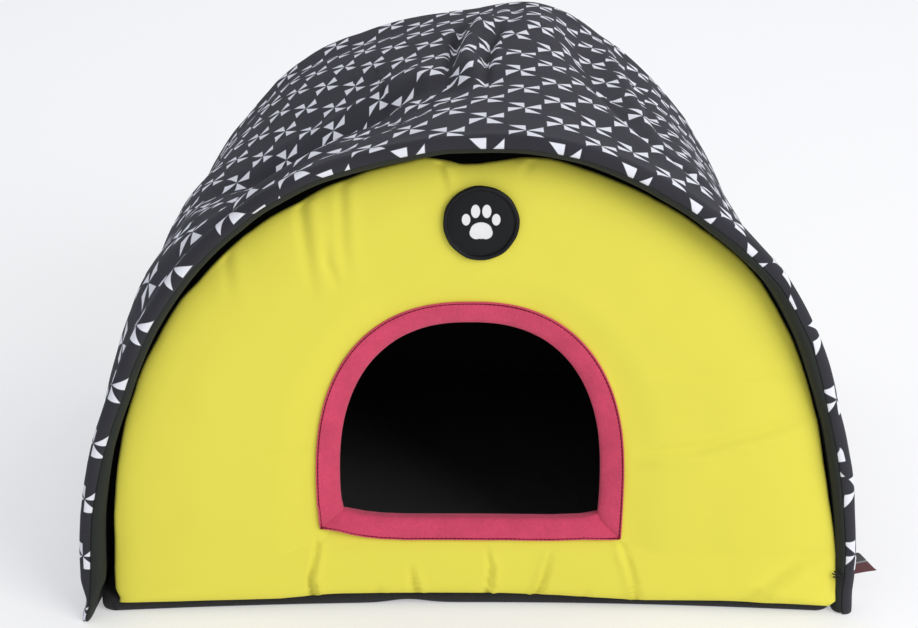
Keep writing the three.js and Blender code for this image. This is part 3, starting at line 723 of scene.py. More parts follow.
def printed_cotton(settings):
    """Charcoal cotton with white pinwheels on every other cell of a checkerboard."""
    finish = Finish("printed_cotton", roughness=0.9, sheen=0.05, sheen_tint=(0.85, 0.87, 1.0), specular=0.2)
    u, v = finish.cloth_place()
    cell = settings.cell
    across, along = u / cell, v / cell
    column, row = across.math("FLOOR"), along.math("FLOOR")
    motif_here = ((column + row).math("FLOORED_MODULO", 2.0)) < 0.5
    x, y = across - column - 0.5, along - row - 0.5
    half = settings.blade_share / 2
    tall, wide = abs(y), abs(x)
    blade = (x * y * (wide - tall)) > 0.0
    slant = abs(wide - tall) * 0.7071
    rest = half - wide.math("MAXIMUM", tall)
    edge = slant.math("MINIMUM", tall.math("MINIMUM", wide)).math("MINIMUM", rest)
    ink = (edge / 0.02).clamp() * blade * motif_here
    cloud = finish.noise(22.0, 3.0)
    fleck = finish.noise(900.0, 2.0)
    ground = finish.shade(rgba(settings.cotton), 0.16, cloud, fleck)
    white = finish.shade(rgba(settings.ink), 0.05, cloud, fleck)
    finish.paint(finish.blend(ground, white, ink))
    threads = finish.weave(u, v, 0.00055)
    return finish.emboss(threads * 0.5 + fleck * 0.8 + ink * 0.15, 0.00022)


def yellow_cloth(settings):
    """Fine plain-weave yellow cloth with slightly uneven threads."""
    finish = Finish("yellow_cloth", roughness=0.9, sheen=0.05, sheen_tint=(1.0, 0.97, 0.35), specular=0.09)
    x, _, z = finish.axes(finish.place())
    slub_up, slub_across = (
        finish.node("ShaderNodeTexNoise", {"noise_dimensions": "2D"}, {
            "Vector": finish.node("ShaderNodeCombineXYZ", sockets={0: x * across, 1: z * up}),
            "Scale": 1.0, "Detail": 2.0})
        for across, up in ((900.0, 60.0), (60.0, 900.0)))
    cloud = finish.noise(11.0, 3.0)
    finish.paint(finish.shade(rgba(settings.cloth), 0.07, cloud, slub_up, slub_across))
    threads = finish.weave(x, z, 0.0006)
    return finish.emboss(threads * 0.5 + slub_up * 0.6 + slub_across * 0.6, 0.0002)


def felt(name, color, bump=0.0005):
    """Soft felt: short matted fibres, cloudy at a few millimetres."""
    tint = tuple(min(1.0, c + 0.35) for c in color[:3])
    finish = Finish(name, roughness=0.95, sheen=0.35, sheen_tint=tint, specular=0.15)
    tufts = finish.noise(420.0, 4.0, 0.65)
    fibres = finish.noise(1500.0, 3.0, 0.7)
    cloud = finish.noise(60.0, 2.0)
    finish.paint(finish.shade(rgba(color), 0.2, cloud, tufts, fibres))
    return finish.emboss(tufts * 0.7 + fibres * 0.5, bump)


def dark_lining(color):
    """Near-black brushed cloth inside the hut and round its hem."""
    finish = Finish("dark_lining", roughness=0.95, sheen=0.02, specular=0.08)
    nap = finish.noise(650.0, 3.0, 0.6)
    cloud = finish.noise(30.0, 2.0)
    finish.paint(finish.shade(rgba(color), 0.3, nap, cloud))
    return finish.emboss(nap, 0.0004)


def patch_leather(settings):
    """Black pebbled leather with a plain white paw print in the middle of the patch."""
    finish = Finish("patch_leather", roughness=0.5, specular=0.22)
    u, v = finish.cloth_place()
    pads = None
    for across, up, wide, tall in PAW_PADS:
        part = ((u / MM - across) / wide).math("POWER", 2.0) + ((v / MM - up) / tall).math("POWER", 2.0)
        inside = ((1.0 - part) * 6.0).clamp()
        pads = inside if pads is None else pads.math("MAXIMUM", inside)
    pebbles = {"Vector": finish.place(), "Scale": 900.0}
    grain = finish.node("ShaderNodeTexVoronoi", {"feature": "SMOOTH_F1"}, pebbles)
    cloud = finish.noise(120.0, 2.0)
    leather = finish.shade(rgba(settings.leather), 0.25, cloud)
    paw = finish.shade(rgba(settings.paw), 0.08, cloud)
    finish.paint(finish.blend(leather, paw, pads * settings.paw_strength))
    return finish.emboss(grain * 0.5 - pads * 0.4, 0.00025)


def pad_cloth(color):
    """Black tightly woven cloth of the floor pad."""
    finish = Finish("pad_cloth", roughness=0.9, sheen=0.1, specular=0.2)
    x, y, z = finish.axes(finish.place())
    cloud = finish.noise(35.0, 3.0)
    fleck = finish.noise(1100.0, 2.0)
    finish.paint(finish.shade(rgba(color), 0.25, cloud, fleck))
    return finish.emboss(finish.weave(x + z, y + z, 0.0007) * 0.5 + fleck, 0.0003)


def label_cloth(settings):
    """Charcoal ribbon label with a thin pale line above its burgundy lower part."""
    finish = Finish("label_cloth", roughness=0.7, sheen=0.2, specular=0.35)
    u, v = finish.cloth_place()
    line = ((0.035 - abs(v - settings.line_share)) * 60.0).clamp()
    low = ((settings.line_share - 0.04 - v) * 40.0).clamp()
    rib = (u * (math.pi / 0.0005)).math("SINE")
    fleck = finish.noise(900.0, 2.0)
    two = finish.blend(rgba(settings.upper), rgba(settings.lower), low)
    color = finish.blend(two, (0.45, 0.42, 0.42, 1.0), line * 0.8)
    finish.paint(finish.shade(color, 0.2, fleck))
    return finish.emboss(rib * 0.5 + fleck, 0.00015)


def thread(name, color):
    """Twisted sewing thread."""
    finish = Finish(name, roughness=0.8, specular=0.15)
    twist = finish.noise(2500.0, 1.0)
    finish.paint(finish.shade(rgba(color), 0.25, twist))
    return finish.emboss(twist, 0.0001)


def studio_floor(color):
    finish = Finish("studio_floor", roughness=0.75, specular=0.2, glow=0.375)
    finish.paint(finish.shade(rgba(color), 0.004, finish.noise(3.0, 2.0)))
    return finish.emboss(finish.noise(60.0, 2.0), 0.0001)


COLOR = {"subtype": "COLOR", "size": 3, "min": 0, "max": 1}


class CanopySettings(bpy.types.PropertyGroup):
    cell: bpy.props.FloatProperty(
        name="Cell", description="Side of one cell of the pinwheel print",
        default=0.0265, min=0.005, subtype="DISTANCE")
    blade_share: bpy.props.FloatProperty(
        name="Pinwheel size", description="Width of a pinwheel as a share of its cell",
        default=0.91, min=0.2, max=1.0)
    hem_radius: bpy.props.FloatProperty(
        name="Hem radius", description="Radius of the padded roll at the hem",
        default=PADDING / 2 * MM, subtype="DISTANCE")
    cotton: bpy.props.FloatVectorProperty(
        name="Cotton", description="Ground colour of the cotton", default=(0.029, 0.029, 0.036), **COLOR)
    ink: bpy.props.FloatVectorProperty(
        name="Pinwheels", description="Colour of the pinwheels", default=(0.80, 0.81, 0.87), **COLOR)


class LiningSettings(bpy.types.PropertyGroup):
    thickness: bpy.props.FloatProperty(
        name="Thickness", description="Thickness of the lining",
        default=LINING_THICKNESS * MM, subtype="DISTANCE")
    cloth: bpy.props.FloatVectorProperty(
        name="Cloth", description="Colour of the lining", default=(0.0042, 0.0045, 0.0042), **COLOR)


class PanelSettings(bpy.types.PropertyGroup):
    padding: bpy.props.FloatProperty(
        name="Padding", description="Thickness of the panels where their padding is full",
        default=0.02, subtype="DISTANCE")
    fold_scale: bpy.props.FloatProperty(
        name="Fold depth", description="Depth of the small folds as a share of their usual depth",
        default=1.0, min=0, max=3)
    cloth: bpy.props.FloatVectorProperty(
        name="Cloth", description="Colour of the panels", default=(0.81, 0.72, 0.014), **COLOR)


class BindingSettings(bpy.types.PropertyGroup):
    cloth_thickness: bpy.props.FloatProperty(
        name="Felt thickness", description="Thickness of the felt strip",
        default=0.0018, subtype="DISTANCE")
    stitch_length: bpy.props.FloatProperty(
        name="Stitch length", description="Length of one stitch", default=0.003, subtype="DISTANCE")
    stitch_gap: bpy.props.FloatProperty(
        name="Stitch gap", description="Gap between two stitches", default=0.0001, subtype="DISTANCE")
    felt: bpy.props.FloatVectorProperty(
        name="Felt", description="Colour of the felt", default=(0.56, 0.055, 0.12), **COLOR)
    thread: bpy.props.FloatVectorProperty(
        name="Thread", description="Colour of the thread", default=(0.14, 0.006, 0.012), **COLOR)


class BadgeSettings(bpy.types.PropertyGroup):
    rim: bpy.props.FloatProperty(
        name="Rim", description="Width of the rolled rim", default=0.0032, subtype="DISTANCE")
    leather: bpy.props.FloatVectorProperty(
        name="Leather", description="Colour of the patch", default=(0.004, 0.0045, 0.006), **COLOR)
    paw: bpy.props.FloatVectorProperty(
        name="Paw print", description="Colour of the paw print", default=(0.78, 0.78, 0.78), **COLOR)
    paw_strength: bpy.props.FloatProperty(
        name="Paw print strength", description="How strongly the paw print covers the leather",
        default=0.95, min=0, max=1)


class FloorPadSettings(bpy.types.PropertyGroup):
    corner: bpy.props.FloatProperty(
        name="Corner", description="Radius of the pad's corners", default=0.010, subtype="DISTANCE")
    cloth: bpy.props.FloatVectorProperty(
        name="Cloth", description="Colour of the pad", default=(0.016, 0.016, 0.018), **COLOR)


class LabelSettings(bpy.types.PropertyGroup):
    line_share: bpy.props.FloatProperty(
        name="Line", description="Place of the pale line as a share of the label's height",
        default=0.5, min=0, max=1)
    upper: bpy.props.FloatVectorProperty(
        name="Upper part", description="Colour above the line", default=(0.055, 0.055, 0.06), **COLOR)
    lower: bpy.props.FloatVectorProperty(
        name="Lower part", description="Colour below the line", default=(0.10, 0.025, 0.03), **COLOR)


class StageSettings(bpy.types.PropertyGroup):
    camera_distance: bpy.props.FloatProperty(
        name="Camera distance", description="How far the camera stands in front of the hem",
        default=1.126, subtype="DISTANCE")
    camera_height: bpy.props.FloatProperty(
        name="Camera height", description="Height of the camera above the floor",
        default=0.6515, subtype="DISTANCE")
    camera_tilt: bpy.props.FloatProperty(
        name="Camera tilt", description="Angle of the camera from straight down",
        default=math.radians(69.5), subtype="ANGLE")
    lens: bpy.props.FloatProperty(
        name="Lens", description="Focal length for a sensor 36 mm wide", default=69.45, unit="CAMERA")
    floor: bpy.props.FloatVectorProperty(
        name="Floor", description="Colour of the floor", default=(0.63, 0.63, 0.638), **COLOR)
    key_power: bpy.props.FloatProperty(
        name="Key light", description="Power of the large light at the upper right",
        default=51.0, unit="POWER")
    fill_power: bpy.props.FloatProperty(
        name="Fill light", description="Power of the soft light over the floor at the back",
        default=12.0, unit="POWER")
    sky: bpy.props.FloatProperty(
        name="Room light", description="Strength of the even light of the room", default=0.675, min=0)


SETTINGS = {
    "hut_canopy": CanopySettings,
    "hut_lining": LiningSettings,
    "hut_panels": PanelSettings,
    "hut_binding": BindingSettings,
    "hut_badge": BadgeSettings,
    "hut_floor_pad": FloorPadSettings,
    "hut_label": LabelSettings,
    "hut_stage": StageSettings,
}


def along_shares(length):
    """Shares of the way from the front roll to the back one: fine near the hem, then coarser."""
    fine = np.arange(0, 128, 1.7)
    coarse = np.linspace(fine[-1] + 3.0, length, 92)
    return np.concatenate([fine, coarse]) / length


CANOPY_STATIONS = 431
INSIDE_ROWS = 12


def inside_shares():
    return np.concatenate([[0, 0.022, 0.048], np.linspace(0.09, 1, INSIDE_ROWS - 1)])


def canopy_stations(count=CANOPY_STATIONS):
    return np.linspace(-1, 1, count)[:, None]


def rolled_edge(s, radius, angles, front):
    """Way along and depth of points on the roll at the hem or at the back edge."""
    turned = radius * np.sin(angles) * (roll_forward(s) if front else 1)
    y = hem_y(s) + PADDING / 2 - turned if front else LENGTH - PADDING / 2 + turned
    return y, PADDING / 2 - radius * np.cos(angles)


def pinched(s, y, depth):
    """Depth in the padding, pinched together toward the tip of the hem's left foot."""
    way = smooth((-s * HEM_HALF - 486) / 18) * smooth(1 - (y - hem_y(s)) / 60)
    return PADDING / 2 + (depth - PADDING / 2) * (1 - 0.62 * way)


def joined(s, parts):
    """Grids of s, of the way along and of the depth, from the parts of a section laid end to end."""
    parts = [np.broadcast_arrays(y + 0 * depth, depth + 0 * y) for y, depth in parts]
    y, depth = (np.concatenate([part[k] for part in parts], 1) for k in (0, 1))
    return np.broadcast_to(s, y.shape), y, depth


def waved(s, y):
    """Way along with the hem's slight waves, alike on the canopy and on its lining."""
    wave = 0.8 * unevenness(np.stack([s * 500, 0 * y, 0 * y], -1), 34.0, 3)
    return y + wave * bell(y - hem_y(s), 26.0) * (s ** 2 < 0.98)


def make_canopy_piece(settings):
    """Padded canopy: the printed cloth wraps round both edges and tucks under the lining's edge."""
    s = canopy_stations()
    seam = seam_angle(s)
    steps = np.linspace(0, 1, 14)[None, :]
    tuck = np.array([0.0, 0.012, 0.03, 0.06, 0.4, 0.8, 1.0])[None, :]
    tuck_radius = np.array([6.45, 5.9, 4.9, 4.5, 5.2, 6.1, 6.5])[None, :]
    hem_tuck_radius = np.array([6.45, 5.9, 4.9, 4.4, 4.0, 3.8, 3.7])[None, :]
    tuck_angles = seam + (math.pi - seam) * tuck
    edge_radius = settings.hem_radius / MM
    start = hem_y(s) + PADDING / 2
    end = LENGTH - PADDING / 2
    shares = along_shares(LENGTH - PADDING)[None, :]
    inner_way = (end - start) * inside_shares()[None, -2:0:-1]

    parts = [
        rolled_edge(s, hem_tuck_radius[:, ::-1], tuck_angles[:, ::-1], True),
        rolled_edge(s, edge_radius, seam * steps[:, ::-1], True),
        (start + (end - start) * shares[:, 1:-1], 0 * s),
        rolled_edge(s, edge_radius, seam * steps, False),
        rolled_edge(s, tuck_radius, tuck_angles, False),
        (start + inner_way, PADDING - 2.8 * np.clip(1.4 - inner_way / 40, 0, 1)),
    ]
    s_grid, y, depth = joined(s, parts)
    depth = pinched(s_grid, y, depth)
    plain = np.stack(VAULT.point(s_grid, y, depth), -1)
    outside = np.clip(1 - depth / 9.0, 0, 1)
    lift = outside * (unevenness(plain, 62.0, 1) + 0.5 * unevenness(plain, 24.0, 2))
    y = waved(s_grid, y)
    points = to_row(*VAULT.point(s_grid, y, depth, lift))

    crown = CANOPY_STATIONS // 2
    crest = tuck.shape[1] + steps.shape[1] - 1
    u = arc_lengths(points, 0, crown) / MM
    v = arc_lengths(points, 1, crest) / MM
    around = VAULT.plain(s_grid, y)[2]
    uv = np.stack(print_place(s, u, v, around, y, crest, tuck.shape[1]), -1) * MM
    uv = np.concatenate([uv, uv[:, -1:]], 1)
    piece = loft("canopy_cloth", points, uv)
    put_on(piece, [printed_cotton(settings)], "printed_cotton", "canopy")


def make_lining_piece(settings):
    """Lining: a thin sheet under the canopy whose edges wrap over the rolls up to the printed cloth."""
    reach = 1 - 0.8 / VAULT.half[0]
    s = canopy_stations() * reach
    seam = seam_angle(s)
    thickness = settings.thickness / MM
    lip = np.array([0.015, 0.03, 0.07, 0.16, 0.3, 0.45, 0.6, 0.8, 1.0])[None, :]
    outer_radius = np.array([5.3, 6.0, 6.45, 6.75, 7.1, 7.4, 7.7, 8.0, 8.3])[None, :]
    hidden_radius = outer_radius * 0 + mix(4.95, PADDING / 2 + SEAM_GAP, lip)
    angles = seam + (math.pi - seam) * lip
    start = hem_y(s) + PADDING / 2
    end = LENGTH - PADDING / 2
    rows = inside_shares()[None, :]
    deep = PADDING + SEAM_GAP
    bulge = hem_chart(s, 2)

    parts = [
        rolled_edge(s, outer_radius + bulge * smooth(lip / 0.45), angles, True),
        (start + (end - start) * rows[:, 1:-1],
         deep + thickness + bulge * np.maximum(1 - (end - start) * rows[:, 1:-1] / 26.0, 0)),
        rolled_edge(s, outer_radius[:, ::-1], angles[:, ::-1], False),
        rolled_edge(s, hidden_radius, angles, False),
        (start + (end - start) * rows[:, -2:0:-1], deep + 0 * s),
        rolled_edge(s, hidden_radius[:, ::-1], angles[:, ::-1], True),
    ]
    s_grid, y, depth = joined(s, parts)
    y = waved(s_grid, y)
    piece = loft("canopy_lining_cloth", to_row(*VAULT.point(s_grid, y, pinched(s_grid, y, depth))))
    put_on(piece, [bpy.data.materials["dark_lining"]], "dark_lining", "canopy_lining")


def padding_half(way, full):
    """Half thickness of a panel at a share of the way from its doorway or hub to its edge."""
    near = mix(BINDING_EDGE_PADDING / 2, full / 2, smooth(way / 0.22))
    outer = np.clip((way - 0.5) / 0.5, 0, 1)
    return near * np.maximum(1 - outer ** 2.2, 0) ** 0.52


def panel_lift(x, z, scale):
    """How far the front panel's face stands out: its folds, with a ridge beside each."""
    lift = np.zeros_like(x)
    for fold in PANEL_FOLDS:
        rise, distance, side, _ = run_rise(fold["run"], x, z)
        lift += rise * bell(distance, fold["half"])
        ridge = abs(fold["ridge"]) * -rise * bell(distance - 2.1 * fold["half"], fold["half"] * 1.3)
        lift += np.where(side * np.sign(fold["ridge"]) > 0, ridge, 0)
    return lift * scale


def panel_finishes():
    """Yellow for a panel's face and the dark lining for its other side."""
    return [bpy.data.materials[name] for name in ("yellow_cloth", "dark_lining")]


def make_front_panel_piece(settings):
    """Front panel: padding between the doorway and the canopy, its cloth pulled into small folds."""
    rim_x, rim_z = panel_outline(FRONT_PANEL_WAY, True, SILL_STATIONS, ARCH_STATIONS)
    inner_x, inner_z = door_outline(0, SILL_STATIONS, ARCH_STATIONS)
    seam_x, seam_z = door_outline(BINDING_WIDTH, SILL_STATIONS, ARCH_STATIONS)
    wall = BINDING_WALL / BINDING_WIDTH
    full = settings.padding / MM

    under = np.linspace(wall, 1, 5)[None, :-1]
    stretches = np.linspace(0, 0.08, 9)[:-1], np.linspace(0.08, 0.86, 44)[:-1], np.linspace(0.86, 1, 17)
    way = np.concatenate(stretches)[None, :]
    under_x = mix(inner_x[:, None], seam_x[:, None], under)
    under_z = mix(inner_z[:, None], seam_z[:, None], under)
    face_x = mix(seam_x[:, None], rim_x[:, None], way)
    face_z = mix(seam_z[:, None], rim_z[:, None], way)
    x = np.concatenate([under_x, face_x], 1)
    z = np.concatenate([under_z, face_z], 1)
    half = np.concatenate([
        mix(OPENING_PADDING, BINDING_EDGE_PADDING, under + 0 * under_x) / 2,
        padding_half(way + 0 * face_x, full),
    ], 1)
    shares = np.concatenate([0 * under_x, way + 0 * face_x], 1)
    free = smooth(shares / 0.03) * smooth((1 - shares) / 0.04)
    flat = np.stack([x, 0 * x, z], -1)
    soft = 0.9 * unevenness(flat, 70.0, 4) + 0.35 * unevenness(flat, 22.0, 5)
    lift = (panel_lift(x, z, settings.fold_scale) + soft) * free
    middle = panel_middle_y(x, z)
    front = to_row(x, middle - half - lift, z)

    back_pick = np.r_[np.arange(0, x.shape[1] - 8, 6), np.arange(x.shape[1] - 7, x.shape[1] - 1, 2)]
    back = to_row(x, middle + half, z)[:, back_pick[::-1]]
    rings = np.concatenate([front, back], 1)
    piece = loft("front_panel_cloth", rings, closed=True)
    put_on(piece, panel_finishes(), "yellow_cloth", "front_panel")
    columns = rings.shape[1]
    yellow_columns = front.shape[1] + 3
    for polygon in piece.data.polygons:
        if polygon.index % columns >= yellow_columns:
            polygon.material_index = 1


def sill_shape(x, z):
    """How far the doorway's lower edge stands above a level line: most at its left corner."""
    rises = np.array(SILL_RISES, float)
    low = smooth((DOOR["sill"] + 14 - z) / 14)
    level = np.where((x > 84) & (z < DOOR["sill"] - 1), 0.8, np.interp(x, rises[:, 0], rises[:, 1]))
    return (level + 0.09 * np.maximum(DOOR["sill"] - z, 0)) * low


BINDING_SILLS = 66
BINDING_ARCHES = 240
BINDING_CLEARANCE = 0.5
STITCH_SHARE = 0.925
STITCH_THREAD_RADIUS = 0.00058


def binding_edges():
    """x and z of the doorway's edge, then of the binding's outer edge."""
    inner = door_outline(0, BINDING_SILLS, BINDING_ARCHES)
    return (*inner, *door_outline(BINDING_WIDTH, BINDING_SILLS, BINDING_ARCHES))


def binding_rings(first, count, settings):
    """Rings of the folded felt strip round the doorway: front flap, wall and back flap, with round edges."""
    index = (first + np.arange(count + 1)) % (BINDING_SILLS + BINDING_ARCHES)
    total = np.arange(count + 1) / count
    inner_x, inner_z, outer_x, outer_z = (line[index][:, None] for line in binding_edges())
    felt_thickness = settings.cloth_thickness / MM
    gap = BINDING_CLEARANCE
    # One row for each corner of the strip's section: share of its width, side, and height over the padding.
    front = [
        (1.0, 0.15), (1.0, 0.6), (0.985, 0.95), (0.955, 1.0), (STITCH_SHARE, 0.5), (0.89, 0.95), (0.78, 1.15),
        (0.6, 1.3), (0.42, 1.36), (0.25, 1.3), (0.13, 1.12), (0.05, 0.8), (0.01, 0.35), (0.0, -0.4)]
    section = [(share, -1, gap + felt_thickness * height) for share, height in front]
    section += [(share, 1, gap + felt_thickness * height) for share, height in reversed(front)]
    wall = (BINDING_WALL - gap) / BINDING_WIDTH
    section += [(1.0, 1, gap * 0.6), (wall, 1, gap * 0.6), (wall, -1, gap * 0.6), (1.0, -1, gap * 0.6)]
    share, side, off = columns_of(section)
    x = mix(inner_x, outer_x, share)
    z = mix(inner_z, outer_z, share)
    padding = mix(OPENING_PADDING, BINDING_EDGE_PADDING, share) / 2
    ends = np.minimum(total, 1 - total)[:, None] * count
    dip = 1.3 * np.exp(-ends * 0.9) * (off > gap * 0.7)
    y = panel_middle_y(x, z) + side * (padding + off - dip)
    return x, y, z


def make_binding_pieces(settings):
    """Felt binding round the doorway, mitred at the lower corners; make_binding_stitches adds its row of
    stitches.
    """
    felt_finish = felt("binding_felt", settings.felt)
    for name, first, count, node, length in (
        ("door_binding_arch_felt", BINDING_SILLS, BINDING_ARCHES, "door_binding_arch", 0.455),
        ("door_binding_sill_felt", 0, BINDING_SILLS, "door_binding_sill", 0.2),
    ):
        x, y, z = binding_rings(first, count, settings)
        z = z + sill_shape(x, z)
        flat = np.stack([x, y, z], -1)
        puff = 0.35 * unevenness(flat, 16.0, 6)
        front = y < panel_middle_y(x, z)
        y = y - np.where(front, puff, 0)
        rings = to_row(x, y, z)
        piece = loft(name, rings, keep_sharp=50)
        put_on(piece, [felt_finish], "binding_felt", node)


def stitch_tree():
    """Geometry Nodes that set short rounded stitches along the host's edge line."""
    tree = bpy.data.node_groups.new("stitch_line", "GeometryNodeTree")
    tree.interface.new_socket("Geometry", in_out="INPUT", socket_type="NodeSocketGeometry")
    for name, default in (("Stitch Length", 0.0026), ("Stitch Gap", 0.0007), ("Thread Radius", 0.0004)):
        socket = tree.interface.new_socket(name, in_out="INPUT", socket_type="NodeSocketFloat")
        socket.default_value = default
    tree.interface.new_socket("Thread", in_out="INPUT", socket_type="NodeSocketMaterial")
    tree.interface.new_socket("Geometry", in_out="OUTPUT", socket_type="NodeSocketGeometry")
    add = tree.nodes.new
    given = add("NodeGroupInput")
    result = add("NodeGroupOutput")
    curve = add("GeometryNodeMeshToCurve")
    resample = add("GeometryNodeResampleCurve")
    resample.mode = "LENGTH"
    place = add("GeometryNodeInstanceOnPoints")
    pitch = add("ShaderNodeMath")
    bead = add("GeometryNodeMeshUVSphere")
    bead.inputs["Segments"].default_value = 8
    bead.inputs["Rings"].default_value = 5
    bead.inputs["Radius"].default_value = 0.5
    tangent = add("GeometryNodeInputTangent")
    turn = add("FunctionNodeAlignRotationToVector")
    turn.axis = "X"
    size = add("ShaderNodeCombineXYZ")
    thick = add("ShaderNodeMath")
    thick.operation = "MULTIPLY"
    thick.inputs[1].default_value = 2.0
    realize = add("GeometryNodeRealizeInstances")
    shade = add("GeometryNodeSetShadeSmooth")
    paint = add("GeometryNodeSetMaterial")
    for source, output, target, entry in (
        (given, "Geometry", curve, "Mesh"),
        (curve, "Curve", resample, "Curve"),
        (given, "Stitch Length", pitch, 0),
        (given, "Stitch Gap", pitch, 1),
        (pitch, 0, resample, "Length"),
        (resample, "Curve", place, "Points"),
        (bead, "Mesh", place, "Instance"),
        (tangent, "Tangent", turn, "Vector"),
        (turn, "Rotation", place, "Rotation"),
        (given, "Thread Radius", thick, 0),
        (given, "Stitch Length", size, "X"),
        (thick, 0, size, "Y"),
        (thick, 0, size, "Z"),
        (size, "Vector", place, "Scale"),
        (place, "Instances", realize, "Geometry"),
        (realize, "Geometry", shade, "Geometry"),
        (shade, "Geometry", paint, "Geometry"),
        (given, "Thread", paint, "Material"),
        (paint, "Geometry", result, "Geometry"),
    ):
        tree.links.new(source.outputs[output], target.inputs[entry])
    return tree


def stitched_line(name, lines, tree, length, gap, radius, material):
    """Plain mesh of the stitches along one or more lines of points in the row frame."""
    vertices, edges = [], []
    for line in lines:
        start = len(vertices)
        vertices.extend(map(tuple, line))
        edges.extend((start + k, start + k + 1) for k in range(len(line) - 1))
    host_mesh = bpy.data.meshes.new(name + "_line")
    host_mesh.from_pydata(vertices, edges, [])
    host = bpy.data.objects.new(name + "_line", host_mesh)
    bpy.context.scene.collection.objects.link(host)
    modifier = host.modifiers.new("Stitches", "NODES")
    modifier.node_group = tree
    values = {"Stitch Length": length, "Stitch Gap": gap, "Thread Radius": radius, "Thread": material}
    for item in tree.interface.items_tree:
        if item.in_out == "INPUT" and item.name in values:
            modifier[item.identifier] = values[item.name]
    evaluated = host.evaluated_get(bpy.context.evaluated_depsgraph_get())
    mesh = bpy.data.meshes.new_from_object(evaluated)
    mesh.name = name
    piece = bpy.data.objects.new(name, mesh)
    bpy.context.scene.collection.objects.link(piece)
    bpy.data.objects.remove(host)
    return piece


def make_binding_stitches(settings):
    """Dark stitches just inside the binding's outer edge, on the front flap and the back one."""
    inner_x, inner_z, outer_x, outer_z = binding_edges()
    x = mix(inner_x, outer_x, STITCH_SHARE)
    z = mix(inner_z, outer_z, STITCH_SHARE)
    z = z + sill_shape(x, z)
    padding = mix(OPENING_PADDING, BINDING_EDGE_PADDING, STITCH_SHARE) / 2
    height = padding + BINDING_CLEARANCE + settings.cloth_thickness / MM * 0.7
    lines = []
    for side in (-1, 1):
        loop = to_row(x, panel_middle_y(x, z) + side * (height + 0.05), z)
        lines.append(np.concatenate([loop, loop[:1]]))
    material = thread("binding_thread", settings.thread)
    piece = stitched_line("binding_stitches", lines, stitch_tree(), settings.stitch_length,
                          settings.stitch_gap, STITCH_THREAD_RADIUS, material)
    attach(piece, "root")


def badge_lean():
    """Slope of the panel behind the patch, and the place of the patch's back face."""
    radius = BADGE["radius"]
    low, high = (panel_middle_y(BADGE["x"], BADGE["z"] + d) for d in (-radius, radius))
    middle = panel_middle_y(BADGE["x"], BADGE["z"]) - BADGE["sunk"] - BADGE["gap"]
    return math.atan2(high - low, 2 * radius), middle


def make_badge_piece(settings):
    """Round leather patch with a rolled rim, slightly uneven, sunk a little in the padding."""
    radius = BADGE["radius"]
    rim = settings.rim / MM
    # Section from the middle of the back face out, over the rim and in to the middle of the front.
    profile = [(0.0, 0.0), (radius - 1.2, 0.0), (radius - 0.3, 0.3)]
    profile += [(radius - rim / 2 + rim / 2 * math.cos(a), 2.0 + rim / 2 * 1.05 * math.sin(a))
                for a in np.linspace(-0.5, math.pi * 0.97, 12)]
    profile += [(radius - rim - 0.35, 1.75), (radius - rim - 1.1, 1.95), (radius - rim - 2.6, 2.25),
                (radius * 0.6, 2.5), (radius * 0.3, 2.6)]
    count = 120
    angle = np.linspace(0, 2 * math.pi, count, endpoint=False)
    wobble = 1 + 0.006 * np.sin(3 * angle + 0.6) + 0.004 * np.sin(7 * angle + 2) + 0.003 * np.sin(12 * angle)
    out, up = columns_of(profile[1:])
    x = out * np.cos(angle)[:, None] * wobble[:, None]
    z = out * np.sin(angle)[:, None] * wobble[:, None]
    up = np.broadcast_to(up, x.shape)
    lean, back_y = badge_lean()
    columns = x.shape[1]
    local = np.stack([x, -up, z], -1).reshape(-1, 3)
    local = np.concatenate([local, [[0, 0, 0], [0, -2.62, 0]]])
    quads, i, k = tube_faces(count, columns, True)
    keep = k < columns - 1
    faces = [tuple(q) for q in quads[keep].tolist()]
    back_hub, front_hub = count * columns, count * columns + 1
    for i in range(count):
        after = (i + 1) % count
        faces.append((i * columns, after * columns, back_hub))
        faces.append((after * columns + columns - 1, i * columns + columns - 1, front_hub))
    uv = [tuple((local[v][0] * MM, local[v][2] * MM) for v in face) for face in faces]
    tilt_y = local[:, 1] * math.cos(lean) + local[:, 2] * math.sin(lean)
    tilt_z = local[:, 1] * math.sin(lean) + local[:, 2] * math.cos(lean)
    points = to_row(local[:, 0] + BADGE["x"], tilt_y + back_y, tilt_z + BADGE["z"])
    piece = cloth_mesh("badge_leather", points, faces, uv)
    put_on(piece, [patch_leather(settings)], "patch_leather", "badge")


